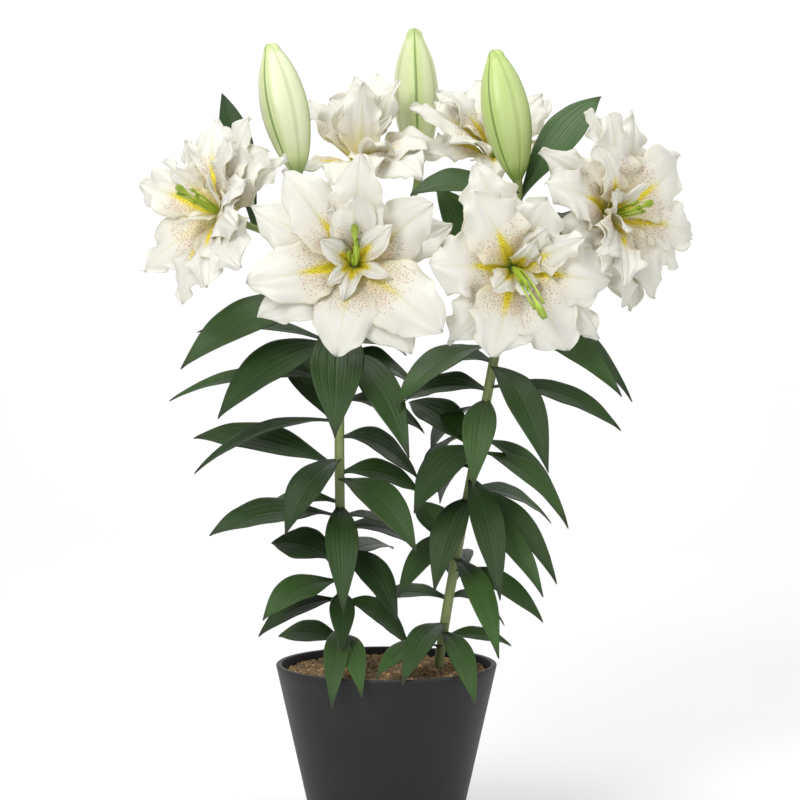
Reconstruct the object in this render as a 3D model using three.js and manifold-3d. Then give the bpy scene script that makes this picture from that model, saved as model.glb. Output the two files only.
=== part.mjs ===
// A potted double oriental lily: two leafy stems from bulbs in a round tapered pot,
// with six double blooms and three buds. Millimetres, +Z up.
// The origin is the middle of the pot's foot, and the plant's front faces -Y.
import * as THREE from "three";
import { mergeVertices } from "three/addons/utils/BufferGeometryUtils.js";
import Module from "manifold-3d";

const wasm = await Module();
wasm.setup();

// Pot and soil
const POT_HEIGHT = 170;
const RIM_RADIUS = 98;
const FOOT_RADIUS = 60;
const POT_WALL = 5;
const POT_FLOOR = 7;
const EDGE_ROUND = 1.5;
const POT_SIDES = 24;
const SOIL_TOP = 161;
const SOIL_MOUND = 6;
const SOIL_BUMP = 1.5;
const SOIL_SEED = 5;

// Stems, pedicels and bulbs
const STEM_RADIUS = 4.4;
const PEDICEL_RADIUS = 2.8;
const PEDICEL_REACH = 0.38;
const BULB_RADIUS = 23;
const BULB_LOW = 74;
const BULB_HIGH = 122;
const STEM_FOOT = BULB_LOW + 4;

// Blades
const LEAF_THICK = 0.9;
const TEPAL_THICK = 0.9;
const LEAST_HALF = 0.3;

// What lies against a neighbour keeps this gap to it.
const GAP = 0.3;

const FINISHES = {
  pot: { color: 0x3a3a3b, roughness: 0.62 },
  soil: { color: 0x4a3524, roughness: 0.95 },
  leaf: { color: 0x2c4a26, roughness: 0.42 },
  tepal: { color: 0xf7f5ef, roughness: 0.5 },
  pistil: { color: 0x86b832, roughness: 0.45 },
  bud: { color: 0xcbd9a0, roughness: 0.4 },
};

const degrees = Math.PI / 180;
const point = (x, y, z) => new THREE.Vector3(x, y, z);
const up = point(0, 0, 1);
const mix = (a, b, share) => a + (b - a) * share;
const smooth = (low, high, value) => THREE.MathUtils.smoothstep(value, low, high);

// A number from 0 to 1 at each call, the same ones each run.
const DRAW_FACTOR = 1664525;
const DRAW_STEP = 1013904223;
const DRAW_RANGE = 2 ** 32;

function seededDraw(seed) {
  let state = seed >>> 0;
  return () => {
    state = (Math.imul(state, DRAW_FACTOR) + DRAW_STEP) >>> 0;
    return state / DRAW_RANGE;
  };
}

// Solids from geometry, and back

const MERGE_WITHIN = 1e-4;

function mergedOf(geometry) {
  const bare = geometry.clone();
  bare.deleteAttribute("normal");
  bare.deleteAttribute("uv");
  return mergeVertices(bare, MERGE_WITHIN);
}

function solidOf(geometry) {
  const merged = mergedOf(geometry);
  const mesh = new wasm.Mesh({
    numProp: 3,
    vertProperties: merged.attributes.position.array,
    triVerts: new Uint32Array(merged.index.array),
  });
  return new wasm.Manifold(mesh);
}

function geometryFrom(solid) {
  const mesh = solid.getMesh();
  const geometry = new THREE.BufferGeometry();
  geometry.setAttribute("position", new THREE.BufferAttribute(mesh.vertProperties, 3));
  geometry.setIndex(new THREE.BufferAttribute(mesh.triVerts, 1));
  return geometry;
}

const fused = (geometries) => geometryFrom(geometries.map(solidOf).reduce((all, one) => all.add(one)));
const cutAway = (geometry, tool) => geometryFrom(solidOf(geometry).subtract(solidOf(tool)));

// A body of revolution round +Z from [radius, height] pairs.
function turned(profile, sides) {
  const outline = profile.map(([radius, height]) => new THREE.Vector2(radius, height));
  return new THREE.LatheGeometry(outline, sides).rotateX(90 * degrees);
}

// The same body with ridges that run from end to end.
function ridged(geometry, ridges, height) {
  const places = geometry.attributes.position;
  for (let i = 0; i < places.count; i++) {
    const [x, y] = [places.getX(i), places.getY(i)];
    const grow = 1 + height * Math.cos(ridges * Math.atan2(y, x));
    places.setXY(i, x * grow, y * grow);
  }
  return geometry;
}

// A round rod along a curve, with an even number of sides.
function rod(curve, radius, steps, sides) {
  const section = new THREE.Shape().absarc(0, 0, radius, 0, 2 * Math.PI);
  const shape = { steps, curveSegments: sides / 2, bevelEnabled: false, extrudePath: curve };
  return new THREE.ExtrudeGeometry(section, shape);
}

// The matrix that stands +Z along outward at a base, with +X as near to upright as it goes.
function standing(base, outward) {
  const axis = outward.clone().normalize();
  const top = up.clone().addScaledVector(axis, -up.dot(axis)).normalize();
  const frame = new THREE.Matrix4().makeBasis(top, axis.clone().cross(top), axis);
  return frame.setPosition(base);
}

// A thin blade of even thickness on surface(t, q), for leaves and tepals.
// t goes from the root, 0, to the tip, 1, and q from edge to edge, -1 to 1, with the midrib at 0.
// Both faces are split into triangles alike, so a waved blade never crosses itself.
const BLADE_COLUMNS = 2;
const BLADE_PROBE = 0.004;

function blade(surface, stations, thickness) {
  const corners = [];
  const addPair = (t, q) => {
    const along = surface(t + BLADE_PROBE, q).sub(surface(t - BLADE_PROBE, q));
    const across = surface(t, q + BLADE_PROBE).sub(surface(t, q - BLADE_PROBE));
    const normal = across.cross(along).normalize();
    corners.push(surface(t, q).addScaledVector(normal, thickness / 2));
    corners.push(surface(t, q).addScaledVector(normal, -thickness / 2));
  };
  for (const t of stations) {
    for (let j = 0; j <= BLADE_COLUMNS; j++) addPair(t, (2 * j) / BLADE_COLUMNS - 1);
  }
  addPair(1 - BLADE_PROBE, 0);
  const tip = stations.length * (BLADE_COLUMNS + 1);
  const front = (i, j) => 2 * (i < stations.length ? i * (BLADE_COLUMNS + 1) + j : tip);
  const back = (i, j) => front(i, j) + 1;
  const triangles = [];
  const add = (a, b, c) => {
    if (a !== b && b !== c && c !== a) triangles.push(a, b, c);
  };
  for (let i = 0; i < stations.length; i++) {
    for (let j = 0; j < BLADE_COLUMNS; j++) {
      add(front(i, j), front(i, j + 1), front(i + 1, j + 1));
      add(front(i, j), front(i + 1, j + 1), front(i + 1, j));
      add(back(i, j), back(i + 1, j + 1), back(i, j + 1));
      add(back(i, j), back(i + 1, j), back(i + 1, j + 1));
    }
    add(front(i, 0), front(i + 1, 0), back(i, 0));
    add(front(i + 1, 0), back(i + 1, 0), back(i, 0));
    add(front(i, BLADE_COLUMNS), back(i, BLADE_COLUMNS), front(i + 1, BLADE_COLUMNS));
    add(front(i + 1, BLADE_COLUMNS), back(i, BLADE_COLUMNS), back(i + 1, BLADE_COLUMNS));
  }
  for (let j = 0; j < BLADE_COLUMNS; j++) {
    add(front(0, j), back(0, j), front(0, j + 1));
    add(front(0, j + 1), back(0, j), back(0, j + 1));
  }
  const geometry = new THREE.BufferGeometry().setFromPoints(corners);
  geometry.setIndex(triangles);
  return geometry;
}

// Pot: a tapered cup with softened edges at its rim and foot

const outerRadius = (z) => mix(FOOT_RADIUS, RIM_RADIUS, z / POT_HEIGHT);
const innerRadius = (z) => outerRadius(z) - POT_WALL;

function potGeometry() {
  const profile = [
    [0, 0],
    [FOOT_RADIUS - EDGE_ROUND, 0],
    [outerRadius(EDGE_ROUND), EDGE_ROUND],
    [outerRadius(POT_HEIGHT - EDGE_ROUND), POT_HEIGHT - EDGE_ROUND],
    [RIM_RADIUS - EDGE_ROUND, POT_HEIGHT],
    [innerRadius(POT_HEIGHT) + EDGE_ROUND, POT_HEIGHT],
    [innerRadius(POT_HEIGHT - EDGE_ROUND), POT_HEIGHT - EDGE_ROUND],
    [innerRadius(POT_FLOOR), POT_FLOOR],
    [0, POT_FLOOR],
  ];
  return turned(profile, POT_SIDES);
}

// Stems: each is a cubic curve from the bulb to the fork where the pedicels leave it

const STEMS = {
  left: [point(-36, -4, STEM_FOOT), point(-39, -4, 210), point(-44, 0, 360), point(-40, 4, 500)],
  right: [point(37, 4, STEM_FOOT), point(47, 2, 225), point(82, 0, 350), point(106, 4, 505)],
};
const STEM_STEPS = 6;
const STEM_SIDES = 8;
const HALVINGS = 24;

const stemCurve = (side) => new THREE.CubicBezierCurve3(...STEMS[side]);
const stemGeometry = (side, extra) => rod(stemCurve(side), STEM_RADIUS + extra, STEM_STEPS, STEM_SIDES);

// The point of a stem at height z, found by halving.
function stemAt(side, z) {
  const curve = stemCurve(side);
  let [low, high] = [0, 1];
  for (let i = 0; i < HALVINGS; i++) {
    const middle = (low + high) / 2;
    if (curve.getPoint(middle).z < z) low = middle;
    else high = middle;
  }
  return curve.getPoint(low);
}

// Bulb: a fat bud of scales under the soil, in one piece with its stem

const BULB_SIDES = 8;
const BULB_SCALES = 4;
const BULB_SCALE_RELIEF = 0.04;

function bulbGeometry(side, extra) {
  const { x, y } = stemAt(side, STEM_FOOT);
  const height = BULB_HIGH - BULB_LOW;
  const profile = [
    [0, -extra],
    [0.45 * BULB_RADIUS + extra, -extra],
    [0.92 * BULB_RADIUS + extra, 0.2 * height],
    [BULB_RADIUS + extra, 0.42 * height],
    [0.72 * BULB_RADIUS + extra, 0.72 * height],
    [0.26 * BULB_RADIUS + extra, height + extra],
    [0, height + extra],
  ];
  const body = ridged(turned(profile, BULB_SIDES), BULB_SCALES, BULB_SCALE_RELIEF);
  return body.translate(x, y, BULB_LOW);
}

// Soil: fills the pot, with an uneven hump in the middle and a plain hole for each stem and bulb

function soilGeometry() {
  const clear = 2 * GAP;
  const floor = POT_FLOOR + GAP;
  const edge = innerRadius(SOIL_TOP) - clear;
  const profile = [
    [0, floor],
    [innerRadius(floor) - clear, floor],
    [edge, SOIL_TOP],
    [0.75 * edge, SOIL_TOP + 0.5 * SOIL_MOUND],
    [0.35 * edge, SOIL_TOP + 0.9 * SOIL_MOUND],
    [0, SOIL_TOP + SOIL_MOUND],
  ];
  const filling = mergedOf(turned(profile, POT_SIDES));
  const places = filling.attributes.position;
  const draw = seededDraw(SOIL_SEED);
  for (let i = 0; i < places.count; i++) {
    if (places.getZ(i) > SOIL_TOP + SOIL_BUMP) places.setZ(i, places.getZ(i) + SOIL_BUMP * (2 * draw() - 1));
  }
  const holes = ["left", "right"].flatMap((side) => [stemGeometry(side, GAP), bulbGeometry(side, GAP)]);
  return cutAway(filling, fused(holes));
}

// Blooms: the side is the stem that carries it, fork the height at which its pedicel leaves that stem,
// facing the way it looks, and pistil how far the pistil bends up the face and to its right, and its
// length as a share of PISTIL_LENGTH.
// Its tepals, as the petals and sepals of a lily are called, have one row each: the layer from the back,
// the turn clockwise from the top of the face, the length as a share of its layer's, the degrees that
// its tip droops more than its layer's and, where it isn't 1, the width as a share of its layer's.
const BLOOMS = {
  front_left: {
    side: "left", fork: 470, base: [-27, -44, 522], facing: [0.02, -1, 0.1],
    size: 1.1, pistil: [27, 0, 0.72],
    tepals: [
      [0, 66, 0.91, 0, 0.9], [0, 151, 0.88, 0, 1.1], [0, 238, 0.94, 0], [0, 297, 0.98, -6, 1.1],
      [1, 129, 1, 0, 1.1], [1, 193, 0.86, 0], [1, 255, 0.98, 0, 0.95], [1, 58, 0.84, 0, 0.95],
      [2, 359, 1.06, -6, 0.95], [2, 318, 1.12, -4, 1.05], [2, 4, 0.84, -44, 0.8],
      [3, 42, 1.2, 24, 1], [3, 296, 0.9, 30, 0.9], [3, 186, 0.8, 50, 0.7],
    ],
  },
  side_left: {
    side: "left", fork: 485, base: [-138, 8, 564], facing: [-0.62, -0.7, 0.33],
    size: 0.98, pistil: [4, -4, 0.9],
    tepals: [
      [0, 317, 1, -10, 0.6], [0, 57, 0.92, 0], [0, 227, 0.94, 0, 1.1], [0, 192, 0.98, 0], [0, 342, 1.02, 0],
      [1, 281, 1.04, -8, 0.75], [1, 31, 1, -6, 1.1], [1, 131, 1.05, 6], [1, 158, 0.99, 0], [1, 49, 0.94, -6],
      [2, 312, 0.8, -16, 0.4], [2, 110, 0.95, 0, 0.9], [2, 45, 0.9, -20, 0.9],
    ],
  },
  back_left: {
    side: "left", fork: 495, base: [-23, 74, 606], facing: [0, -0.5, 0.87],
    size: 0.95, pistil: [28, 0, 0.8],
    tepals: [
      [0, 356, 1.15, -42, 0.9], [0, 65, 0.85, 0], [0, 244, 0.85, 0], [0, 326, 1.05, -20],
      [1, 10, 1.05, -40, 0.9], [1, 339, 0.87, -25], [1, 131, 0.92, 14], [1, 193, 0.9, 0, 0.9],
      [2, 351, 0.85, -48, 1.1], [2, 43, 0.96, -40, 0.5], [2, 183, 0.96, -130, 0.85],
      [3, 60, 1.1, 0, 1.2], [1, 103, 0.7, -8, 0.62],
    ],
  },
  front_right: {
    side: "right", fork: 475, base: [108, -42, 519], facing: [0.12, -1, -0.05],
    size: 1.04, pistil: [-38, 17, 1],
    tepals: [
      [0, 339, 1.01, -4, 1.2], [0, 125, 0.98, 0, 0.9], [0, 221, 0.89, 0, 0.95], [0, 286, 0.7, 0, 0.8],
      [1, 97, 0.91, 0, 1.1], [1, 146, 0.9, 0, 1.1], [1, 196, 0.85, 0, 1.1], [1, 277, 0.83, 0, 1.1],
      [1, 27, 0.72, -3],
      [2, 330, 1.04, -6, 1.2], [2, 33, 0.63, -30, 0.6],
      [3, 229, 1.1, 10], [3, 26, 0.92, 10, 0.9],
    ],
  },
  side_right: {
    side: "right", fork: 490, base: [190, 6, 564], facing: [0.6, -0.78, 0.12],
    size: 1, pistil: [4, 2, 0.85],
    tepals: [
      [0, 345, 1.03, -10, 0.6], [0, 19, 1.05, -4, 0.8], [0, 100, 1.08, 0], [0, 120, 0.91, 0, 0.9],
      [0, 177, 0.89, 0], [0, 307, 1.05, 0, 1.05],
      [1, 58, 0.97, 0, 1.25], [1, 160, 0.91, 0], [1, 285, 1.05, 8], [1, 344, 0.99, -6],
      [1, 251, 0.88, 6, 0.9],
      [2, 220, 1, 0], [2, 318, 1.05, -16, 0.6],
    ],
  },
  back_right: {
    side: "right", fork: 497, base: [94, 92, 618], facing: [0.2, -0.5, 0.85],
    size: 0.95, pistil: [-6, 0, 0.8],
    tepals: [
      [0, 331, 0.85, -20, 0.8], [0, 52, 1.05, -20], [0, 91, 0.8, 0, 0.9], [0, 200, 0.85, 0, 0.9],
      [0, 261, 0.82, 10, 0.9],
      [1, 0, 0.85, -25, 0.9], [1, 54, 0.85, -20, 0.9], [1, 235, 0.85, -10, 0.9], [1, 320, 0.8, -25, 0.9],
      [1, 279, 1, -2, 1.1],
    ],
  },
};

// Buds: the same, with the tip that each points to
const BUDS = {
  left: { side: "left", fork: 492, base: [-78, 12, 602], tip: [-103, 20, 717] },
  centre: { side: "left", fork: 499, base: [29, 130, 614], tip: [25, 130, 741] },
  right: { side: "right", fork: 500, base: [115, 2, 596], tip: [94, 2, 710] },
};

const baseOf = (flower) => point(...flower.base);

function facingOf(flower) {
  if (flower.facing) return point(...flower.facing).normalize();
  return point(...flower.tip).sub(baseOf(flower)).normalize();
}

const frameOf = (flower) => standing(baseOf(flower), facingOf(flower));

// Pedicels: each rises from its stem's fork and ends square to the flower that it carries

const PEDICEL_STEPS = 4;
const PEDICEL_SIDES = 6;

function pedicelCurve(flower) {
  const start = stemAt(flower.side, flower.fork);
  const outward = facingOf(flower);
  const end = baseOf(flower).addScaledVector(outward, -GAP);
  const reach = start.distanceTo(end) * PEDICEL_REACH;
  const rising = start.clone().addScaledVector(up, reach);
  const arriving = end.clone().addScaledVector(outward, -reach);
  return new THREE.CubicBezierCurve3(start, rising, arriving, end);
}

function pedicelsOf(side) {
  const carried = Object.entries({ ...BLOOMS, ...BUDS }).filter(([, flower]) => flower.side === side);
  return Object.fromEntries(carried.map(([name, flower]) => [name, pedicelCurve(flower)]));
}

// Leaves: one row each, with the height of its foot on the stem, its tip's x, y and z, and its width
const LEAVES = {
  left: [
    [466, -43, -92, 376, 44],
    [488, -176, -60, 433, 42],
    [450, -170, 40, 462, 22],
    [446, 20, -66, 357, 31],
    [450, 18, 70, 440, 32],
    [418, -194, 26, 401, 22],
    [452, -145, -50, 390, 39],
    [384, -168, -22, 340, 21],
    [370, 28, 34, 331, 38],
    [342, -172, 24, 368, 36],
    [350, -86, -76, 292, 31],
    [333, 26, -76, 277, 31],
    [300, -153, -44, 288, 40],
    [312, -126, 52, 290, 25],
    [308, -36, -92, 228, 26],
    [272, 10, -52, 214, 30],
    [288, 30, 66, 262, 22],
    [243, -106, -62, 217, 30],
    [262, 6, 70, 264, 31],
    [232, -37, -74, 192, 19],
    [226, -112, -24, 197, 26],
    [224, 20, 16, 182, 30],
    [189, -97, 24, 190, 25],
    [200, -45, -128, 152, 19],
    [194, -20, -120, 160, 18],
    [440, 28, 40, 410, 38],
    [402, 34, 30, 372, 34],
    [338, 30, 36, 318, 28],
    [300, 28, 36, 268, 28],
    [376, -95, 40, 450, 34],
    [259, -103, 24, 274, 38],
  ],
  right: [
    [488, 218, 12, 401, 26],
    [468, 203, -50, 409, 29],
    [450, 8, -56, 400, 36],
    [432, 138, -84, 346, 29],
    [411, 16, 48, 400, 37],
    [414, 206, -14, 377, 30],
    [402, 74, -90, 334, 26],
    [396, 40, 84, 352, 30],
    [368, 162, 14, 288, 27],
    [362, 24, -58, 309, 32],
    [357, 156, -34, 300, 25],
    [358, 20, 66, 398, 34],
    [322, 149, 50, 289, 30],
    [332, 97, -92, 238, 26],
    [323, 150, -14, 242, 23],
    [315, 41, -84, 244, 27],
    [306, 136, -48, 235, 22],
    [285, 10, -44, 234, 22],
    [262, 96, -90, 188, 22],
    [252, 138, -12, 208, 21],
    [226, -20, 50, 214, 28],
    [228, 107, 52, 196, 21],
    [204, 14, -106, 168, 22],
    [192, 111, 8, 184, 23],
    [196, 76, -104, 150, 19],
    [184, -8, -100, 174, 21],
    [436, 22, 62, 422, 38],
    [345, 48, 74, 305, 28],
    [372, 30, 70, 330, 28],
    [268, 26, 50, 308, 26],
  ],
};

// Leaves on the pedicels: the flower that the pedicel carries, how far along it, the tip and the width
const BRACTS = {
  left: [
    ["side_left", 0.8, [-148, 60, 676], 26],
  ],
  right: [
    ["right", 0.8, [191, 40, 672], 36],
    ["right", 0.88, [21, -20, 583], 46],
    ["side_right", 0.6, [152, -46, 566], 30],
    ["front_right", 0.3, [44, 22, 590], 40],
  ],
};

// Leaves behind the stems, which carry on the same spiral where the rows above leave it open.
// Their bearing is in degrees from +X and their fall in mm.
const BACK_LEAVES = { count: 2, firstFoot: 268, step: 74, reach: 88, bearing: 90, fan: 35 };
const BACK_LEAF_FALL = [20, 50];
const BACK_LEAF_WIDTHS = [28, 34];
const BACK_LEAF_SEEDS = { left: 101, right: 202 };
const REACH_RANGE = [0.9, 1.1];
const GOLDEN_ANGLE = 137.5;

function backLeaves(side) {
  const { count, firstFoot, step, reach, bearing, fan } = BACK_LEAVES;
  const draw = seededDraw(BACK_LEAF_SEEDS[side]);
  return Array.from({ length: count }, (_, i) => {
    const foot = firstFoot + step * i;
    const turn = (bearing + fan * Math.sin(i * GOLDEN_ANGLE * degrees)) * degrees;
    const span = reach * mix(...REACH_RANGE, draw());
    const fall = mix(...BACK_LEAF_FALL, draw());
    const tip = stemAt(side, foot).add(point(span * Math.cos(turn), span * Math.sin(turn), -fall));
    return [foot, ...tip, mix(...BACK_LEAF_WIDTHS, draw())];
  });
}

// A leaf's midrib rises by arch of its length, and its halves fold up by keel of their width. Its face
// turns from upright by about lightTurn towards the light that the plant grew in, each leaf by its own share.
const LEAF = { arch: 0.17, crownAt: 0.55, crownRise: 0.5, crownDrop: 0.34, keel: 0.18, footHalf: 2.4 };
const LANCE = { skew: 1.12, power: 1.15 };
const LIGHT_TURN = { mean: 1.2, spread: 0.6, step: 2.4, turnedBy: 0.4 };
const LIGHT = point(0, -0.85, 0.5);
const LEAF_STATIONS = [0, 0.26, 0.53, 0.79];
const SMALL_LEAF_STATIONS = [0, 0.34, 0.7];
const SMALL_LEAF_WIDTH = 33;

function leafSurface(foot, tip, width, index) {
  const crown = foot.clone().lerp(tip, LEAF.crownAt);
  const rise = tip.z - foot.z;
  crown.z = foot.z + rise * (rise > 0 ? LEAF.crownRise : LEAF.crownDrop) + LEAF.arch * foot.distanceTo(tip);
  const curve = new THREE.QuadraticBezierCurve3(foot, crown, tip);
  const level = point(tip.y - foot.y, foot.x - tip.x, 0).normalize();
  const lightTurn = LIGHT_TURN.mean * (1 + LIGHT_TURN.spread * Math.sin(LIGHT_TURN.step * index));
  return (t, q) => {
    const share = THREE.MathUtils.clamp(t, 0, 1);
    const along = curve.getTangent(share);
    const raised = level.clone().cross(along);
    raised.addScaledVector(LIGHT, lightTurn * smooth(0, LIGHT_TURN.turnedBy, share));
    raised.addScaledVector(along, -raised.dot(along)).normalize();
    const sideways = along.clone().cross(raised);
    const lance = Math.sin(Math.PI * share ** LANCE.skew) ** LANCE.power;
    const half = (width / 2) * lance + LEAF.footHalf * (1 - share) + LEAST_HALF;
    const middle = curve.getPoint(share);
    return middle.addScaledVector(sideways, half * q).addScaledVector(raised, LEAF.keel * half * Math.abs(q));
  };
}

function leafGeometry(foot, tip, width, index) {
  const stations = width < SMALL_LEAF_WIDTH ? SMALL_LEAF_STATIONS : LEAF_STATIONS;
  return blade(leafSurface(foot, tip, width, index), stations, LEAF_THICK);
}

// Foot, tip and width of each leaf of a stem and its pedicels
function leafRows(side) {
  const pedicels = pedicelsOf(side);
  const onStem = [...LEAVES[side], ...backLeaves(side)].map(([height, x, y, z, width]) => {
    return [stemAt(side, height), point(x, y, z), width];
  });
  const onPedicels = BRACTS[side].map(([flower, share, tip, width]) => {
    return [pedicels[flower].getPointAt(share), point(...tip), width];
  });
  return [...onStem, ...onPedicels];
}

// Leafy stem: the stem with its bulb, pedicels and leaves, grown as one piece

function leafyStem(side) {
  const pieces = [stemGeometry(side, 0), bulbGeometry(side, 0)];
  for (const curve of Object.values(pedicelsOf(side))) {
    pieces.push(rod(curve, PEDICEL_RADIUS, PEDICEL_STEPS, PEDICEL_SIDES));
  }
  leafRows(side).forEach((row, index) => pieces.push(leafGeometry(...row, index)));
  return fused(pieces);
}

// The four layers of a bloom from the back: sepals, broad petals, inner petals, and small ones
// round the pistil. A midrib starts at root above the flower's base and leans from the flower's axis
// by lean, given at its root and at its tip.
const LAYERS = [
  { root: 1, length: 97, width: 44, lean: [46, 114], wave: 3.5, waves: 1.5, blunt: 1.1 },
  { root: 3.5, length: 96, width: 50, lean: [36, 102], wave: 4.5, waves: 2.1, blunt: 0.8 },
  { root: 6, length: 92, width: 44, lean: [26, 90], wave: 4.5, waves: 1.9, blunt: 0.85 },
  { root: 9, length: 50, width: 22, lean: [10, 40], wave: 2, waves: 1, blunt: 0.9 },
];
const SMALL_LAYER = 3;
const TEPAL_STATIONS = [0, 0.27, 0.54, 0.8];
const SMALL_TEPAL_STATIONS = [0, 0.4, 0.75];
const TEPAL = { rootRadius: 3, claw: 0.1, widestAt: 0.5, tipPower: 2.2, waveSkew: 0.9 };
const CUP = { root: 0.22, tip: -0.12, turnedBy: 0.7 };
const WAVED = { from: 0.2, fully: 0.55 };

// The most that chance adds to a tepal at its tip, either way: a sway and a curl in mm and a twist.
const CHANCE = { sway: 7, twist: 0.4, curl: 7 };

function chancesOf(draw) {
  const phase = 2 * Math.PI * draw();
  const [sway, twist, curl] = [CHANCE.sway, CHANCE.twist, CHANCE.curl].map((most) => most * (2 * draw() - 1));
  return { phase, sway, twist, curl };
}

// A tepal's surface in the flower's own frame, +Z out of its face and +X up it. The midrib is an arc of
// a circle, the root is a narrow channel, and the edges roll back towards the tip and are waved.
function tepalSurface([layer, turn, reach, droop, breadth = 1], size, { phase, sway, twist, curl }) {
  const { root, length, width, lean, wave, waves, blunt } = LAYERS[layer];
  const [leanRoot, leanTip] = [lean[0] * degrees, (lean[1] + droop) * degrees];
  const bend = (leanTip - leanRoot) / (length * reach * size);
  const [cosine, sine] = [Math.cos(turn * degrees), -Math.sin(turn * degrees)];
  return (t, q) => {
    const share = THREE.MathUtils.clamp(t, 0, 1);
    const slope = mix(leanRoot, leanTip, share);
    const radius = TEPAL.rootRadius + (Math.cos(leanRoot) - Math.cos(slope)) / bend;
    const height = root + (Math.sin(slope) - Math.sin(leanRoot)) / bend;
    const beyond = Math.max(0, (share - TEPAL.widestAt) / (1 - TEPAL.widestAt));
    const taper = (1 - beyond ** TEPAL.tipPower) ** blunt;
    const widening = mix(TEPAL.claw, 1, smooth(0, TEPAL.widestAt, share));
    const half = (width / 2) * breadth * size * widening * taper + LEAST_HALF;
    const cup = mix(CUP.root, CUP.tip, smooth(0, CUP.turnedBy, share)) * half;
    const swing = Math.sin(2 * Math.PI * waves * share + phase + TEPAL.waveSkew * q);
    const waved = wave * smooth(WAVED.from, WAVED.fully, share) * swing;
    const lift = (cup + waved) * q * q + twist * share * half * q + curl * share ** 4;
    const out = radius - lift * Math.cos(slope);
    const side = half * q + sway * share * share;
    return point(out * cosine - side * sine, out * sine + side * cosine, height + lift * Math.sin(slope));
  };
}

// Receptacle: the knob that the tepals and the pistil grow from
const RECEPTACLE_HEIGHT = 14;
const RECEPTACLE_SIDES = 8;
const RECEPTACLE_PROFILE = [
  [0, 0], [4.5, 0], [8, 5], [7, 11], [3, RECEPTACLE_HEIGHT], [0, RECEPTACLE_HEIGHT],
];

function bloomGeometry(bloom, seed) {
  const draw = seededDraw(seed);
  const pieces = [turned(RECEPTACLE_PROFILE, RECEPTACLE_SIDES)];
  for (const tepal of bloom.tepals) {
    const stations = tepal[0] === SMALL_LAYER ? SMALL_TEPAL_STATIONS : TEPAL_STATIONS;
    pieces.push(blade(tepalSurface(tepal, bloom.size, chancesOf(draw)), stations, TEPAL_THICK));
  }
  return fused(pieces).applyMatrix4(frameOf(bloom));
}

// Pistil: an ovary, a slender style and a lobed stigma in one, with stunted filaments round its foot
const PISTIL_LENGTH = 56;
const PISTIL_SIDES = 6;
const PISTIL_PROFILE = [
  [0, 0], [2.8, 0], [2, 26], [2, 46], [3.9, 52], [3.2, PISTIL_LENGTH], [0, 55],
];
const FILAMENTS = 3;
const FILAMENT_RADIUS = 1;
const FILAMENT_PATH = [[1.5, 2], [3, 16], [6, 30]];

function pistilGeometry(bloom) {
  const foot = RECEPTACLE_HEIGHT + GAP;
  const [rise, aside, stretch] = bloom.pistil;
  const column = turned(PISTIL_PROFILE, PISTIL_SIDES).scale(1, 1, stretch);
  const places = column.attributes.position;
  for (let i = 0; i < places.count; i++) {
    const share = (Math.max(0, places.getZ(i)) / (PISTIL_LENGTH * stretch)) ** 2;
    places.setXY(i, places.getX(i) + rise * share, places.getY(i) - aside * share);
  }
  const pieces = [column.translate(0, 0, foot)];
  for (let k = 0; k < FILAMENTS; k++) {
    const turn = ((k + 0.5) * 2 * Math.PI) / FILAMENTS;
    const [x, y] = [Math.cos(turn), Math.sin(turn)];
    const at = ([radius, height]) => point(radius * x, radius * y, foot + height * stretch);
    pieces.push(rod(new THREE.QuadraticBezierCurve3(...FILAMENT_PATH.map(at)), FILAMENT_RADIUS, 2, 4));
  }
  return fused(pieces).applyMatrix4(frameOf(bloom));
}

// Bud: closed tepals, three of them showing as long lobes, with a blunt tip.
// The profile's pairs are a radius and a share of the bud's length.
const BUD_SIDES = 12;
const BUD_LOBES = 3;
const BUD_LOBE_RELIEF = 0.045;
const BUD_PROFILE = [
  [0, 0], [4.5, 0], [11, 0.1], [17.5, 0.27], [20.8, 0.46],
  [20, 0.62], [15.6, 0.79], [8.6, 0.93], [4, 1], [0, 1],
];

function budGeometry(bud) {
  const length = point(...bud.tip).distanceTo(baseOf(bud));
  const spindle = turned(BUD_PROFILE.map(([radius, share]) => [radius, share * length]), BUD_SIDES);
  return ridged(spindle, BUD_LOBES, BUD_LOBE_RELIEF).applyMatrix4(frameOf(bud));
}

// The plant in its pot

const model = new THREE.Group();

function addNode(name, geometry, finish) {
  const material = new THREE.MeshStandardMaterial({ ...FINISHES[finish], metalness: 0 });
  const mesh = new THREE.Mesh(geometry, material);
  mesh.name = name;
  model.add(mesh);
}

const FIRST_BLOOM_SEED = 11;

addNode("pot", potGeometry(), "pot");
addNode("soil", soilGeometry(), "soil");
for (const side of ["left", "right"]) addNode("leafy_stem_" + side, leafyStem(side), "leaf");
Object.entries(BLOOMS).forEach(([name, bloom], index) => {
  addNode("bloom_" + name, bloomGeometry(bloom, FIRST_BLOOM_SEED + index), "tepal");
  addNode("pistil_" + name, pistilGeometry(bloom), "pistil");
});
for (const [name, bud] of Object.entries(BUDS)) addNode("bud_" + name, budGeometry(bud), "bud");

export default model;
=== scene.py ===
# %% [markdown]
# # A potted double oriental lily
# This lesson dresses a plain, exact model of a pot plant: two leafy stems with six double white blooms and
# three buds. The plain model gives each piece's place and size. Here each piece is made again with finer
# faces and a finish, in the same place. The photo's view is straight from the front, a little from above.

# %% Load the plain model
import math
from collections import namedtuple
from functools import partial

import bpy
import numpy as np
from mathutils import Matrix, Vector


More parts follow.
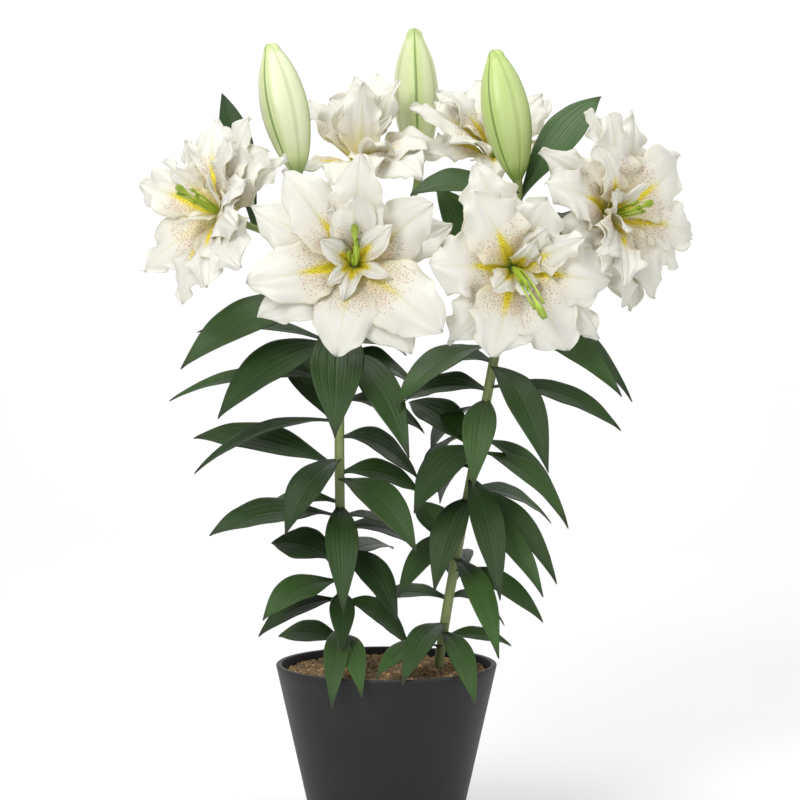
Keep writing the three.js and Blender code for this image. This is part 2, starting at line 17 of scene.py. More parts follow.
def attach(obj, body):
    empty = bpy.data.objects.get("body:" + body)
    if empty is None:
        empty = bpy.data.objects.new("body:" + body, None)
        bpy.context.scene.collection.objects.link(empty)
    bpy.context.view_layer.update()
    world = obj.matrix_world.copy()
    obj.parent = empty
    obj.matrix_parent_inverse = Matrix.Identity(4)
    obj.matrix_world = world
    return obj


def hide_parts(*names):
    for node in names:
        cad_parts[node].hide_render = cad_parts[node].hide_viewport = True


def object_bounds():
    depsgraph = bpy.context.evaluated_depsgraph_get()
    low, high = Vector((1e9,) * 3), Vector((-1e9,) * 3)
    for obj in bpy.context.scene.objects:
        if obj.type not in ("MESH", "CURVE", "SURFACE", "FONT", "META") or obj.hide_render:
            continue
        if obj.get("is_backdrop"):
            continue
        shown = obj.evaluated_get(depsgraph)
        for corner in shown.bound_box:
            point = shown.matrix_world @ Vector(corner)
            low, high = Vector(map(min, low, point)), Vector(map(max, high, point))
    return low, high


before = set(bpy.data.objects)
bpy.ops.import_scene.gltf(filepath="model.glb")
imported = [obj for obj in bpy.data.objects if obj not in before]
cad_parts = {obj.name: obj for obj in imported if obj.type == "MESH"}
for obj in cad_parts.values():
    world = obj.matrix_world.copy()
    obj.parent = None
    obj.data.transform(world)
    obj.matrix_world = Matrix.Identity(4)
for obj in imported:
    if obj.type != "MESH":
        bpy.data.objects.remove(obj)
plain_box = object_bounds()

mm = 0.001
degrees = math.pi / 180
print("Plain model:", len(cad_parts), "nodes, box", [list(corner) for corner in plain_box])

# %% [markdown]
# ## Camera, floor and light
# The photo is a studio shot on white: the camera stands far off with a long lens, so the plant looks almost
# flat on. A bent white sheet is both floor and background, as in a photographer's cove, so no horizon shows.
# Large soft lamps from both sides and from above leave only faint shadows, and the side lamps put the pale
# edges on the dark pot.

# %% Camera
CAMERA_PLACE = Vector((12, -2200, 518)) * mm
CAMERA_LOOKS_AT = Vector((12, 0, 403)) * mm


def add_object(name, data):
    made = bpy.data.objects.new(name, data)
    bpy.context.scene.collection.objects.link(made)
    return made


camera = add_object("camera", bpy.data.cameras.new("camera"))
camera.location = CAMERA_PLACE
camera.rotation_euler = (CAMERA_LOOKS_AT - CAMERA_PLACE).to_track_quat("-Z", "Y").to_euler()
camera.data.lens = 112.5
camera.data.sensor_width = 36
camera.data.clip_end = 30
bpy.context.scene.camera = camera
print("Camera tilts down by", round(90 - camera.rotation_euler.x / degrees, 2), "degrees")

# %% Cove: floor and background in one sheet
COVE_HALF_WIDTH = 4
COVE_FRONT = -4
COVE_BACK = 2.5
COVE_BEND = 1.2
COVE_HEIGHT = 4
BEND_STEPS = 24


def cove_profile():
    """The sheet's outline seen from the side, as (y, z): flat, then a quarter circle, then upright."""
    bend = [step * 90 / BEND_STEPS * degrees for step in range(BEND_STEPS + 1)]
    curve = [(COVE_BACK + COVE_BEND * math.sin(a), COVE_BEND * (1 - math.cos(a))) for a in bend]
    return [(COVE_FRONT, 0), *curve, (COVE_BACK + COVE_BEND, COVE_HEIGHT)]


sides = [-COVE_HALF_WIDTH, COVE_HALF_WIDTH]
corners = [(x, y, z) for y, z in cove_profile() for x in sides]
quads = [(2 * i, 2 * i + 1, 2 * i + 3, 2 * i + 2) for i in range(len(cove_profile()) - 1)]
cove_mesh = bpy.data.meshes.new("cove")
cove_mesh.from_pydata(corners, [], quads)
cove_mesh.shade_smooth()
add_object("cove", cove_mesh)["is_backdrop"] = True
print("Cove has", len(quads), "strips")

# %% Lamps and sky
LAMP_AIM = Vector((0, 0, 0.45))


def add_lamp(name, place, size, watts, aim=LAMP_AIM):
    lamp = bpy.data.lights.new(name, "AREA")
    lamp.shape = "RECTANGLE"
    lamp.size, lamp.size_y = size
    lamp.energy = watts
    holder = add_object(name, lamp)
    holder.location = place
    holder.rotation_euler = (aim - holder.location).to_track_quat("-Z", "Y").to_euler()


add_lamp("lamp_left", (-0.9, -1.9, 1.5), (0.7, 0.9), 30)
add_lamp("lamp_right", (1.9, -0.7, 1.0), (0.8, 1.8), 10)
add_lamp("lamp_top", (-0.2, -0.2, 2.2), (1.2, 0.8), 19)
add_lamp("lamp_wall", (0, 1.7, 2.7), (4.0, 0.8), 42, Vector((0, 3.7, 0.8)))

world = bpy.data.worlds.new("studio")
world.use_nodes = True
world.node_tree.nodes["Background"].inputs["Color"].default_value = (1, 1, 1, 1)
world.node_tree.nodes["Background"].inputs["Strength"].default_value = 0.42
bpy.context.scene.world = world
bpy.context.scene.view_settings.view_transform = "Standard"
bpy.context.scene.view_settings.look = "None"
print("Four lamps and a white sky")

# %% [markdown]
# ## Sums as nodes
# Petals and leaves follow formulas, and so do the patterns on them. In Blender a formula is a tree of Math
# nodes. Wiring dozens of them by hand hides what they say, so this small class writes them down: arithmetic
# on a Field adds the nodes. The same class serves Geometry Nodes and shaders.

# %% Field: a value in a node tree
class Field:
    """A number or a vector in a node tree. Arithmetic on it adds the nodes that work it out."""

    def __init__(self, socket):
        self.socket = socket
        self.tree = socket.id_data
        self.is_vector = socket.type == "VECTOR"

    def __mul__(self, other):
        other_is_vector = isinstance(other, Field) and other.is_vector
        if self.is_vector and not other_is_vector:
            return scaled(self, other)
        if other_is_vector and not self.is_vector:
            return scaled(other, self)
        return work_out("MULTIPLY", self, other)

    __rmul__ = __mul__

    def __neg__(self):
        return self * -1


def add_sign(word, operation):
    """Lets a Field stand before or after an arithmetic sign, which Python knows by a word."""
    setattr(Field, f"__{word}__", lambda self, other: work_out(operation, self, other))
    setattr(Field, f"__r{word}__", lambda self, other: work_out(operation, other, self))


for word, operation in {"add": "ADD", "sub": "SUBTRACT", "truediv": "DIVIDE", "pow": "POWER"}.items():
    add_sign(word, operation)


def plug(value, socket):
    """Links a Field to a socket, or sets the socket to a plain value."""
    if isinstance(value, Field):
        value.tree.links.new(value.socket, socket)
    else:
        socket.default_value = value


def node(tree, kind, plugs=None, **settings):
    """A new node with its settings made and its inputs plugged, by name or number."""
    made = tree.nodes.new(kind)
    for setting, value in settings.items():
        setattr(made, setting, value)
    for socket, value in (plugs or {}).items():
        plug(value, made.inputs[socket])
    return made


def result(tree, kind, plugs=None, output=0, **settings):
    """One output of a new node, by number or name."""
    return Field(node(tree, kind, plugs, **settings).outputs[output])


def work_out(operation, *values, output=0):
    """The result of a Math node, or of a Vector Math node where a value is a vector."""
    fields = [value for value in values if isinstance(value, Field)]
    vectors = any(field.is_vector for field in fields)
    kind = "ShaderNodeVectorMath" if vectors else "ShaderNodeMath"
    return result(fields[0].tree, kind, dict(enumerate(values)), output, operation=operation)


def scaled(vector, number):
    return result(vector.tree, "ShaderNodeVectorMath", {0: vector, 3: number}, operation="SCALE")


sine, cosine, absolute = (partial(work_out, name) for name in ("SINE", "COSINE", "ABSOLUTE"))
larger, cross, unit = (partial(work_out, name) for name in ("MAXIMUM", "CROSS_PRODUCT", "NORMALIZE"))
dot = partial(work_out, "DOT_PRODUCT", output=1)


def mix(a, b, share):
    return a + (b - a) * share


def smooth(low, high, value):
    """0 below low, 1 above high, and a soft step between them."""
    plugs = {0: value, 1: low, 2: high}
    return result(value.tree, "ShaderNodeMapRange", plugs, interpolation_type="SMOOTHSTEP")


def fading(low, high, value):
    """1 below low, 0 above high, and a soft step between them."""
    return 1 - smooth(low, high, value)


def hump(value, width):
    """1 where value is 0, falling off softly on both sides over about width."""
    share = value / width
    return 1 / (1 + share * share * share * share)


def vector(x, y, z):
    tree = next(part.tree for part in (x, y, z) if isinstance(part, Field))
    return result(tree, "ShaderNodeCombineXYZ", {0: x, 1: y, 2: z})


def split(place):
    """A vector's x, y and z."""
    return [Field(part) for part in node(place.tree, "ShaderNodeSeparateXYZ", {0: place}).outputs]


def noise(place, scale, detail=2.0, roughness=0.5):
    """Soft random lumps, about 0.5 on average."""
    plugs = {"Vector": place, "Scale": scale, "Detail": detail, "Roughness": roughness}
    return result(place.tree, "ShaderNodeTexNoise", plugs)


print("Field is ready")

# %% [markdown]
# ## Helpers for trees and pieces
# A Geometry Nodes modifier holds a tree with named inputs. Each piece starts as a few bare points or lines
# that carry numbers, one for each petal or leaf. The tree turns them into blades or rods, and the result is
# then kept as a plain mesh, so that the piece no longer depends on the tree.

# %% Trees and pieces
INPUT_KINDS = {int: "NodeSocketInt", float: "NodeSocketFloat", bpy.types.Material: "NodeSocketMaterial"}


def new_tree(name, **inputs):
    """A geometry tree with named inputs and a Finish. Returns it and what it is given."""
    tree = bpy.data.node_groups.new(name, "GeometryNodeTree")
    tree.interface.new_socket("Geometry", in_out="INPUT", socket_type="NodeSocketGeometry")
    for label, kind in {**inputs, "Finish": bpy.types.Material}.items():
        tree.interface.new_socket(label, in_out="INPUT", socket_type=INPUT_KINDS[kind])
    tree.interface.new_socket("Geometry", in_out="OUTPUT", socket_type="NodeSocketGeometry")
    entry = tree.nodes.new("NodeGroupInput")
    return tree, {socket.name: Field(socket) for socket in entry.outputs if socket.name}


def carried(tree, *names, kind="FLOAT"):
    """Numbers, or with FLOAT_VECTOR vectors, that the points carry."""
    return [result(tree, "GeometryNodeInputNamedAttribute", {"Name": name}, data_type=kind) for name in names]


def carry(geometry, name, value):
    """Lets the points of the geometry carry a value under a name."""
    kind = "FLOAT_VECTOR" if value.is_vector else "FLOAT"
    plugs = {"Geometry": geometry, "Name": name, "Value": value}
    return result(geometry.tree, "GeometryNodeStoreNamedAttribute", plugs, data_type=kind)


def position(tree):
    return result(tree, "GeometryNodeInputPosition")


def normal(tree):
    return result(tree, "GeometryNodeInputNormal")


def placed(geometry, place):
    return result(geometry.tree, "GeometryNodeSetPosition", {0: geometry, "Position": place})


def moved(geometry, offset):
    return result(geometry.tree, "GeometryNodeSetPosition", {0: geometry, "Offset": offset})


def ending(geometry, finish):
    """The last nodes of a tree: real faces, smooth shading and the finish. Returns the tree."""
    tree = geometry.tree
    real = result(tree, "GeometryNodeRealizeInstances", {0: geometry})
    soft = result(tree, "GeometryNodeSetShadeSmooth", {0: real})
    dressed = result(tree, "GeometryNodeSetMaterial", {0: soft, "Material": finish})
    node(tree, "NodeGroupOutput", {0: dressed})
    print("The tree", tree.name, "has", len(tree.nodes), "nodes")
    return tree


def new_piece(name, points, edges=(), numbers=None):
    """An object of bare points or lines that carry numbers, or vectors where a row has three values."""
    mesh = bpy.data.meshes.new(name)
    mesh.from_pydata(points, list(edges), [])
    for label, values in (numbers or {}).items():
        rows = np.array(values, np.float32)
        is_vector = rows.ndim == 2
        attribute = mesh.attributes.new(label, "FLOAT_VECTOR" if is_vector else "FLOAT", "POINT")
        attribute.data.foreach_set("vector" if is_vector else "value", rows.ravel())
    return add_object(name, mesh)


def run_tree(piece, tree, **inputs):
    """Gives the piece the tree's result as a plain mesh. The inputs are named in small letters."""
    modifier = piece.modifiers.new(tree.name, "NODES")
    modifier.node_group = tree
    for socket in tree.interface.items_tree:
        word = socket.name.lower()
        if socket.in_out == "INPUT" and word in inputs:
            modifier[socket.identifier] = inputs[word]
    evaluated = piece.evaluated_get(bpy.context.evaluated_depsgraph_get())
    plain_mesh = bpy.data.meshes.new_from_object(evaluated)
    piece.modifiers.remove(modifier)
    piece.data = plain_mesh
    return piece


def join_frame(piece, slot, *nodes):
    """The piece rides on the plant's one body and stands for these nodes of the plain model."""
    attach(piece, "root")
    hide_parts(*nodes)
    piece.data.calc_loop_triangles()
    print(piece.name, "has", len(piece.data.loop_triangles), "triangles")


# %% [markdown]
# ## The plant's measurements
# These are the same rows that the plain model is built from, in millimetres. Two stems are cubic curves.
# Each flower has the stem that carries it, the height where its stalk leaves that stem, its base, the way it
# faces, its size and how strongly its edges are frilled. Then come its pistil's bend upwards and aside, with
# its length as a share, and its petals: each one's layer, its turn round the face, its length as a share of
# its layer's, how much further its tip droops and, where it isn't 1, its breadth. A bud has its tip, the turn
# of one of its three ribs round its axis, where -90 faces the front, and how green it is, from 0 to 1.

# %% Stems, flowers and buds
STEMS = {
    "left": [(-36, -4, 78), (-39, -4, 210), (-44, 0, 360), (-40, 4, 500)],
    "right": [(37, 4, 78), (47, 2, 225), (82, 0, 350), (106, 4, 505)],
}
STEM_RADIUS = 4.4
PEDICEL_RADIUS = 2.8
PEDICEL_REACH = 0.38

Bloom = namedtuple("Bloom", "side fork base facing size frill pistil tepals")
BLOOMS = {
    "front_left": Bloom("left", 470, (-27, -44, 522), (0.02, -1, 0.1), 1.1, 0.6, (27, 0, 0.72), [
        (0, 66, 0.91, 0, 0.9), (0, 151, 0.88, 0, 1.1), (0, 238, 0.94, 0), (0, 297, 0.98, -6, 1.1),
        (1, 129, 1, 0, 1.1), (1, 193, 0.86, 0), (1, 255, 0.98, 0, 0.95), (1, 58, 0.84, 0, 0.95),
        (2, 359, 1.06, -6, 0.95), (2, 318, 1.12, -4, 1.05), (2, 4, 0.84, -44, 0.8),
        (3, 42, 1.2, 24, 1), (3, 296, 0.9, 30, 0.9), (3, 186, 0.8, 50, 0.7),
    ]),
    "side_left": Bloom("left", 485, (-138, 8, 564), (-0.62, -0.7, 0.33), 0.98, 1.2, (4, -4, 0.9), [
        (0, 317, 1, -10, 0.6), (0, 57, 0.92, 0), (0, 227, 0.94, 0, 1.1), (0, 192, 0.98, 0),
        (0, 342, 1.02, 0),
        (1, 281, 1.04, -8, 0.75), (1, 31, 1, -6, 1.1), (1, 131, 1.05, 6), (1, 158, 0.99, 0),
        (1, 49, 0.94, -6),
        (2, 312, 0.8, -16, 0.4), (2, 110, 0.95, 0, 0.9), (2, 45, 0.9, -20, 0.9),
    ]),
    "back_left": Bloom("left", 495, (-23, 74, 606), (0, -0.5, 0.87), 0.95, 0.9, (28, 0, 0.8), [
        (0, 356, 1.15, -42, 0.9), (0, 65, 0.85, 0), (0, 244, 0.85, 0), (0, 326, 1.05, -20),
        (1, 10, 1.05, -40, 0.9), (1, 339, 0.87, -25), (1, 131, 0.92, 14), (1, 193, 0.9, 0, 0.9),
        (2, 351, 0.85, -48, 1.1), (2, 43, 0.96, -40, 0.5), (2, 183, 0.96, -130, 0.85),
        (3, 60, 1.1, 0, 1.2), (1, 103, 0.7, -8, 0.62),
    ]),
    "front_right": Bloom("right", 475, (108, -42, 519), (0.12, -1, -0.05), 1.04, 1.3, (-38, 17, 1), [
        (0, 339, 1.01, -4, 1.2), (0, 125, 0.98, 0, 0.9), (0, 221, 0.89, 0, 0.95), (0, 286, 0.7, 0, 0.8),
        (1, 97, 0.91, 0, 1.1), (1, 146, 0.9, 0, 1.1), (1, 196, 0.85, 0, 1.1), (1, 277, 0.83, 0, 1.1),
        (1, 27, 0.72, -3),
        (2, 330, 1.04, -6, 1.2), (2, 33, 0.63, -30, 0.6),
        (3, 229, 1.1, 10), (3, 26, 0.92, 10, 0.9),
    ]),
    "side_right": Bloom("right", 490, (190, 6, 564), (0.6, -0.78, 0.12), 1, 1.2, (4, 2, 0.85), [
        (0, 345, 1.03, -10, 0.6), (0, 19, 1.05, -4, 0.8), (0, 100, 1.08, 0), (0, 120, 0.91, 0, 0.9),
        (0, 177, 0.89, 0), (0, 307, 1.05, 0, 1.05),
        (1, 58, 0.97, 0, 1.25), (1, 160, 0.91, 0), (1, 285, 1.05, 8), (1, 344, 0.99, -6),
        (1, 251, 0.88, 6, 0.9),
        (2, 220, 1, 0), (2, 318, 1.05, -16, 0.6),
    ]),
    "back_right": Bloom("right", 497, (94, 92, 618), (0.2, -0.5, 0.85), 0.95, 1.0, (-6, 0, 0.8), [
        (0, 331, 0.85, -20, 0.8), (0, 52, 1.05, -20), (0, 91, 0.8, 0, 0.9), (0, 200, 0.85, 0, 0.9),
        (0, 261, 0.82, 10, 0.9),
        (1, 0, 0.85, -25, 0.9), (1, 54, 0.85, -20, 0.9), (1, 235, 0.85, -10, 0.9), (1, 320, 0.8, -25, 0.9),
        (1, 279, 1, -2, 1.1),
    ]),
}
Tepal = namedtuple("Tepal", "layer turn reach droop breadth", defaults=[1])
# Petals that the plain model does without: small ones in the throats and folds among the broad ones.
MORE_TEPALS = {
    "front_left": [
        (3, 120, 0.8, 40, 0.6), (3, 240, 0.75, 40, 0.55), (2, 335, 0.66, -36, 0.5), (2, 30, 0.7, -34, 0.5),
    ],
    "side_left": [(3, 41, 0.9, 10), (3, 192, 0.9, 0), (2, 80, 0.85, -12, 0.8)],
    "back_left": [(3, 290, 1, 0), (2, 155, 0.7, -20, 0.7), (2, 166, 0.9, 16, 0.8), (2, 112, 0.8, 20, 0.9)],
    "front_right": [(2, 60, 0.8, -16, 0.7), (3, 150, 0.8, 0)],
    "side_right": [
        (3, 8, 0.9, 10), (3, 310, 1, 10), (3, 205, 0.9, 10),
        (1, 190, 1, -6, 0.8), (2, 206, 1.05, -8, 0.8), (2, 232, 1, -14, 0.8),
    ],
    "back_right": [(3, 0, 1, 0), (3, 120, 1, 0), (3, 240, 1, 0), (2, 300, 0.9, -20, 0.8)],
}

Bud = namedtuple("Bud", "side fork base tip rib_turn tint")
BUDS = {
    "left": Bud("left", 492, (-78, 12, 602), (-103, 20, 717), -107, 0.12),
    "centre": Bud("left", 499, (29, 130, 614), (25, 130, 741), -90, 0.34),
    "right": Bud("right", 500, (115, 2, 596), (94, 2, 710), -125, 0.85),
}
print(len(BLOOMS), "blooms with", sum(len(bloom.tepals) for bloom in BLOOMS.values()), "petals")

# %% Leaves
# One row a leaf: the height of its foot on the stem, its tip's x, y and z, and its width.
LEAVES = {
    "left": [
        (466, -43, -92, 376, 44), (488, -176, -60, 433, 42), (450, -170, 40, 462, 22),
        (446, 20, -66, 357, 31), (450, 18, 70, 440, 32), (418, -194, 26, 401, 22),
        (452, -145, -50, 390, 39), (384, -168, -22, 340, 21), (370, 28, 34, 331, 38),
        (342, -172, 24, 368, 36), (350, -86, -76, 292, 31), (333, 26, -76, 277, 31),
        (300, -153, -44, 288, 40), (312, -126, 52, 290, 25), (308, -36, -92, 228, 26),
        (272, 10, -52, 214, 30), (288, 30, 66, 262, 22), (243, -106, -62, 217, 30),
        (262, 6, 70, 264, 31), (232, -37, -74, 192, 19), (226, -112, -24, 197, 26),
        (224, 20, 16, 182, 30), (189, -97, 24, 190, 25), (200, -45, -128, 152, 19),
        (194, -20, -120, 160, 18), (440, 28, 40, 410, 38), (402, 34, 30, 372, 34),
        (338, 30, 36, 318, 28), (300, 28, 36, 268, 28), (376, -95, 40, 450, 34),
        (259, -103, 24, 274, 38),
    ],
    "right": [
        (488, 218, 12, 401, 26), (468, 203, -50, 409, 29), (450, 8, -56, 400, 36),
        (432, 138, -84, 346, 29), (411, 16, 48, 400, 37), (414, 206, -14, 377, 30),
        (402, 74, -90, 334, 26), (396, 40, 84, 352, 30), (368, 162, 14, 288, 27),
        (362, 24, -58, 309, 32), (357, 156, -34, 300, 25), (358, 20, 66, 398, 34),
        (322, 149, 50, 289, 30), (332, 97, -92, 238, 26), (323, 150, -14, 242, 23),
        (315, 41, -84, 244, 27), (306, 136, -48, 235, 22), (285, 10, -44, 234, 22),
        (262, 96, -90, 188, 22), (252, 138, -12, 208, 21), (226, -20, 50, 214, 28),
        (228, 107, 52, 196, 21), (204, 14, -106, 168, 22), (192, 111, 8, 184, 23),
        (196, 76, -104, 150, 19), (184, -8, -100, 174, 21), (436, 22, 62, 422, 38),
        (345, 48, 74, 305, 28), (372, 30, 70, 330, 28), (268, 26, 50, 308, 26),
    ],
}
# Leaves on the flower stalks: the flower, how far along its stalk, the tip and the width.
BRACTS = {
    "left": [("side_left", 0.8, (-148, 60, 676), 26)],
    "right": [
        ("right", 0.8, (191, 40, 672), 36),
        ("right", 0.88, (21, -20, 583), 46),
        ("side_right", 0.6, (152, -46, 566), 30),
        ("front_right", 0.3, (44, 22, 590), 40),
    ],
}
# Leaves behind the stems, in the places of the spiral that the rows leave open.
BACK_LEAF_COUNT = 2
BACK_LEAF_FIRST = 268
BACK_LEAF_STEP = 74
BACK_LEAF_REACH = 88
BACK_LEAF_FAN = 35
# The least reach as a share, fall and width in mm, each with the most that chance adds.
BACK_LEAF_SHARE, BACK_LEAF_FALL, BACK_LEAF_WIDTH = (0.9, 0.2), (20, 30), (28, 6)
BACK_LEAF_SEEDS = {"left": 101, "right": 202}
GOLDEN_ANGLE = 137.5
print(sum(len(rows) for rows in LEAVES.values()), "leaves on the stems")

# %% [markdown]
# ## Places worked out from the measurements
# The plain model draws its chance numbers from a short formula with a fixed seed. Repeating the formula here
# gives the same numbers, so each fine petal lies where its plain one does.

# %% Seeded draws, curves and frames
def seeded_draw(seed):
    """A number from 0 to 1 at each call, the same ones each run."""
    state = seed

    def draw():
        nonlocal state
        state = (state * 1664525 + 1013904223) % 2**32
        return state / 2**32

    return draw


def by_chance(draw, least, more):
    """A number from least on, to which chance adds at most more."""
    return least + more * draw()


def bezier(points, share):
    """The point of a Bezier curve at a share of its way."""
    points = [Vector(point) for point in points]
    while len(points) > 1:
        points = [a.lerp(b, share) for a, b in zip(points, points[1:])]
    return points[0]


HALVINGS = 24


def stem_point(side, height):
    """The point of a stem at a height, found by halving."""
    low, high = 0.0, 1.0
    for _ in range(HALVINGS):
        middle = (low + high) / 2
        if bezier(STEMS[side], middle).z < height:
            low = middle
        else:
            high = middle
    return bezier(STEMS[side], low)


def facing(flower):
    if isinstance(flower, Bloom):
        return Vector(flower.facing).normalized()
    return (Vector(flower.tip) - Vector(flower.base)).normalized()


def standing(base, outward):
    """The matrix that stands +Z along outward at a base in mm, with +X as near to upright as it goes."""
    up = Vector((0, 0, 1))
    top = (up - outward * up.dot(outward)).normalized()
    turn = Matrix((top, outward.cross(top), outward)).transposed().to_4x4()
    return Matrix.Translation(Vector(base) * mm) @ turn


def pedicel(flower):
    """The four points of the cubic curve that carries a flower."""
    start, end = stem_point(flower.side, flower.fork), Vector(flower.base)
    reach = (end - start).length * PEDICEL_REACH
    return [start, start + Vector((0, 0, reach)), end - facing(flower) * reach, end]


FLOWERS = {**BLOOMS, **BUDS}
for name, flower in FLOWERS.items():
    print("Stalk of", name, "is", round((Vector(flower.base) - pedicel(flower)[0]).length), "mm across")

# %% [markdown]
# ## Colours
# Colours are written as a screen shows them, from 0 to 255, and turned into the light values that Blender
# mixes. A finish is never one flat colour: each reads how far along and across its blade a point is, and
# adds veins, dots and cloudy changes.

# %% Colour helpers
def screen(red, green, blue):
    """A screen colour, 0 to 255, as light values."""
    shares = [value / 255 for value in (red, green, blue)]
    return tuple(s / 12.92 if s <= 0.04045 else ((s + 0.055) / 1.055) ** 2.4 for s in shares) + (1.0,)


def new_finish(name):
    material = bpy.data.materials.new(name)
    material.use_nodes = True
    material.node_tree.nodes.clear()
    return material, material.node_tree


def painted(tree, *names, output=2):
    """What the mesh carries under these names: numbers, or with output 1 vectors."""
    return [result(tree, "ShaderNodeAttribute", attribute_name=name, output=output) for name in names]


def here(tree):
    return result(tree, "ShaderNodeTexCoord", output="Object")


def blended(share, first, second):
    """first where share is 0, second where it is 1."""
    return result(share.tree, "ShaderNodeMix", {0: share, 6: first, 7: second}, 2, data_type="RGBA")


def layered(colour, *layers):
    """The colour with layers over it, each a share and a colour, laid on one after the other."""
    for share, over in layers:
        colour = blended(share, colour, over)
    return colour


def bumped(height, distance, strength=1.0):
    plugs = {"Height": height, "Distance": distance, "Strength": strength}
    return result(height.tree, "ShaderNodeBump", plugs)


def surface(material, plugs, glow_colour=None, glow_share=0.0):
    """Gives the material a Principled surface. With a glow, part of it lets light through, as petals do."""
    tree = material.node_tree
    skin = result(tree, "ShaderNodeBsdfPrincipled", plugs)
    if glow_share:
        through = result(tree, "ShaderNodeBsdfTranslucent", {"Color": glow_colour})
        skin = result(tree, "ShaderNodeMixShader", {0: glow_share, 1: skin, 2: through})
    node(tree, "ShaderNodeOutputMaterial", {"Surface": skin})
    print("The finish", material.name, "has", len(tree.nodes), "nodes")
    return material


# %% Cove finish
cove_white, tree = new_finish("cove_white")
COVE_TONES = screen(246, 246, 246), screen(252, 252, 252)
plugs = {"Base Color": blended(noise(here(tree), 0.4), *COVE_TONES), "Roughness": 0.9}
cove_mesh.materials.append(surface(cove_white, plugs))

# %% [markdown]
# ## Petals
# A lily's petals and sepals look alike, and botanists call both tepals. A double bloom has several layers
# of them on one small knob. Each is a long spoon: a narrow channel at its root, broad in the middle, rolled
# back towards the tip, with thin frilled edges and a furrow along its middle. Modelling nearly a hundred by
# hand would take days, and simulating them as cloth wouldn't keep their places. A Geometry Nodes tree makes
# them from one formula instead. It puts a thin box on each point and bends the box along the formula.

# %% Layers
Layer = namedtuple("Layer", "root length width lean wave waves blunt")
# From the outermost layer to the small one in the throat, in mm and degrees.
LAYERS = [
    Layer(1, 97, 44, (46, 114), 3.5, 1.5, 1.1),
    Layer(3.5, 96, 50, (36, 102), 4.5, 2.1, 0.8),
    Layer(6, 92, 44, (26, 90), 4.5, 1.9, 0.85),
    Layer(9, 50, 22, (10, 40), 2, 1, 0.9),
]
# The most that chance adds at a tip, either way: a sway and a curl in mm, and a twist.
SWAY, TWIST, CURL = 7, 0.4, 7
FIRST_BLOOM_SEED = 11
# The smallest petals are less frilled than the rest of their bloom.
SMALL_LAYER, SMALL_FRILL = 3, 0.45
TEPAL_STEPS = 53
TEPAL_COLUMNS = 26


def tepal_numbers(name, bloom):
    """What each petal's point carries."""
    draw = seeded_draw(FIRST_BLOOM_SEED + list(BLOOMS).index(name))
    columns = {}
    for index, tepal in enumerate(Tepal(*row) for row in bloom.tepals + MORE_TEPALS[name]):
        shape = LAYERS[tepal.layer]
        row = {
            "turn": -tepal.turn * degrees,
            "root": shape.root * mm,
            "length": shape.length * tepal.reach * bloom.size * mm,
            "width": shape.width * tepal.breadth * bloom.size * mm,
            "lean_root": shape.lean[0] * degrees,
            "lean_tip": (shape.lean[1] + tepal.droop) * degrees,
            "wave": shape.wave * mm,
            "waves": shape.waves,
            "blunt": shape.blunt,
            "phase": 2 * math.pi * draw(),
            "sway": SWAY * mm * (2 * draw() - 1),
            "twist": TWIST * (2 * draw() - 1),
            "curl": CURL * mm * (2 * draw() - 1),
            "frill": bloom.frill * (SMALL_FRILL if tepal.layer == SMALL_LAYER else 1.0),
            "chance": index + 20 * list(BLOOMS).index(name),
        }
        for label, value in row.items():
            columns.setdefault(label, []).append(value)
    return columns


print("A petal carries", ", ".join(tepal_numbers("front_left", BLOOMS["front_left"])))

# %% The petal tree
ROOT_RADIUS = 3 * mm
CLAW = 0.1
CUP_ROOT, CUP_TIP = 0.22, -0.34
VALLEY = 0.22
LEAST_HALF = 0.3 * mm
RUFFLE_HEIGHT = 3.0 * mm
RUFFLE_LENGTH = 24 * mm
RUFFLE_DEPTH = 2.2 * mm
CRIMP_HEIGHT = 1.2 * mm
FOLD_HEIGHT = 4.5 * mm
FURROW_DEPTH = 1.6 * mm
FURROW_WIDTH = 3.2 * mm
SKIN = 0.1 * mm
TEPAL_THICK = 0.55 * mm
ROOT_THICK = 2.2


def blade_boxes(tree, points, steps, columns):
    """A flat box on each point, whose corners know how far along, across and up the blade they are."""
    size = {"Size": (1, 1, 1), "Vertices X": steps, "Vertices Y": columns, "Vertices Z": 2}
    box = result(tree, "GeometryNodeMeshCube", size)
    x, y, z = split(position(tree))
    for label, value in {"along": x + 0.5, "across": y * 2, "face": z * 2}.items():
        box = carry(box, label, value)
    boxes = result(tree, "GeometryNodeInstanceOnPoints", {"Points": points, "Instance": box})
    return result(tree, "GeometryNodeRealizeInstances", {0: boxes})


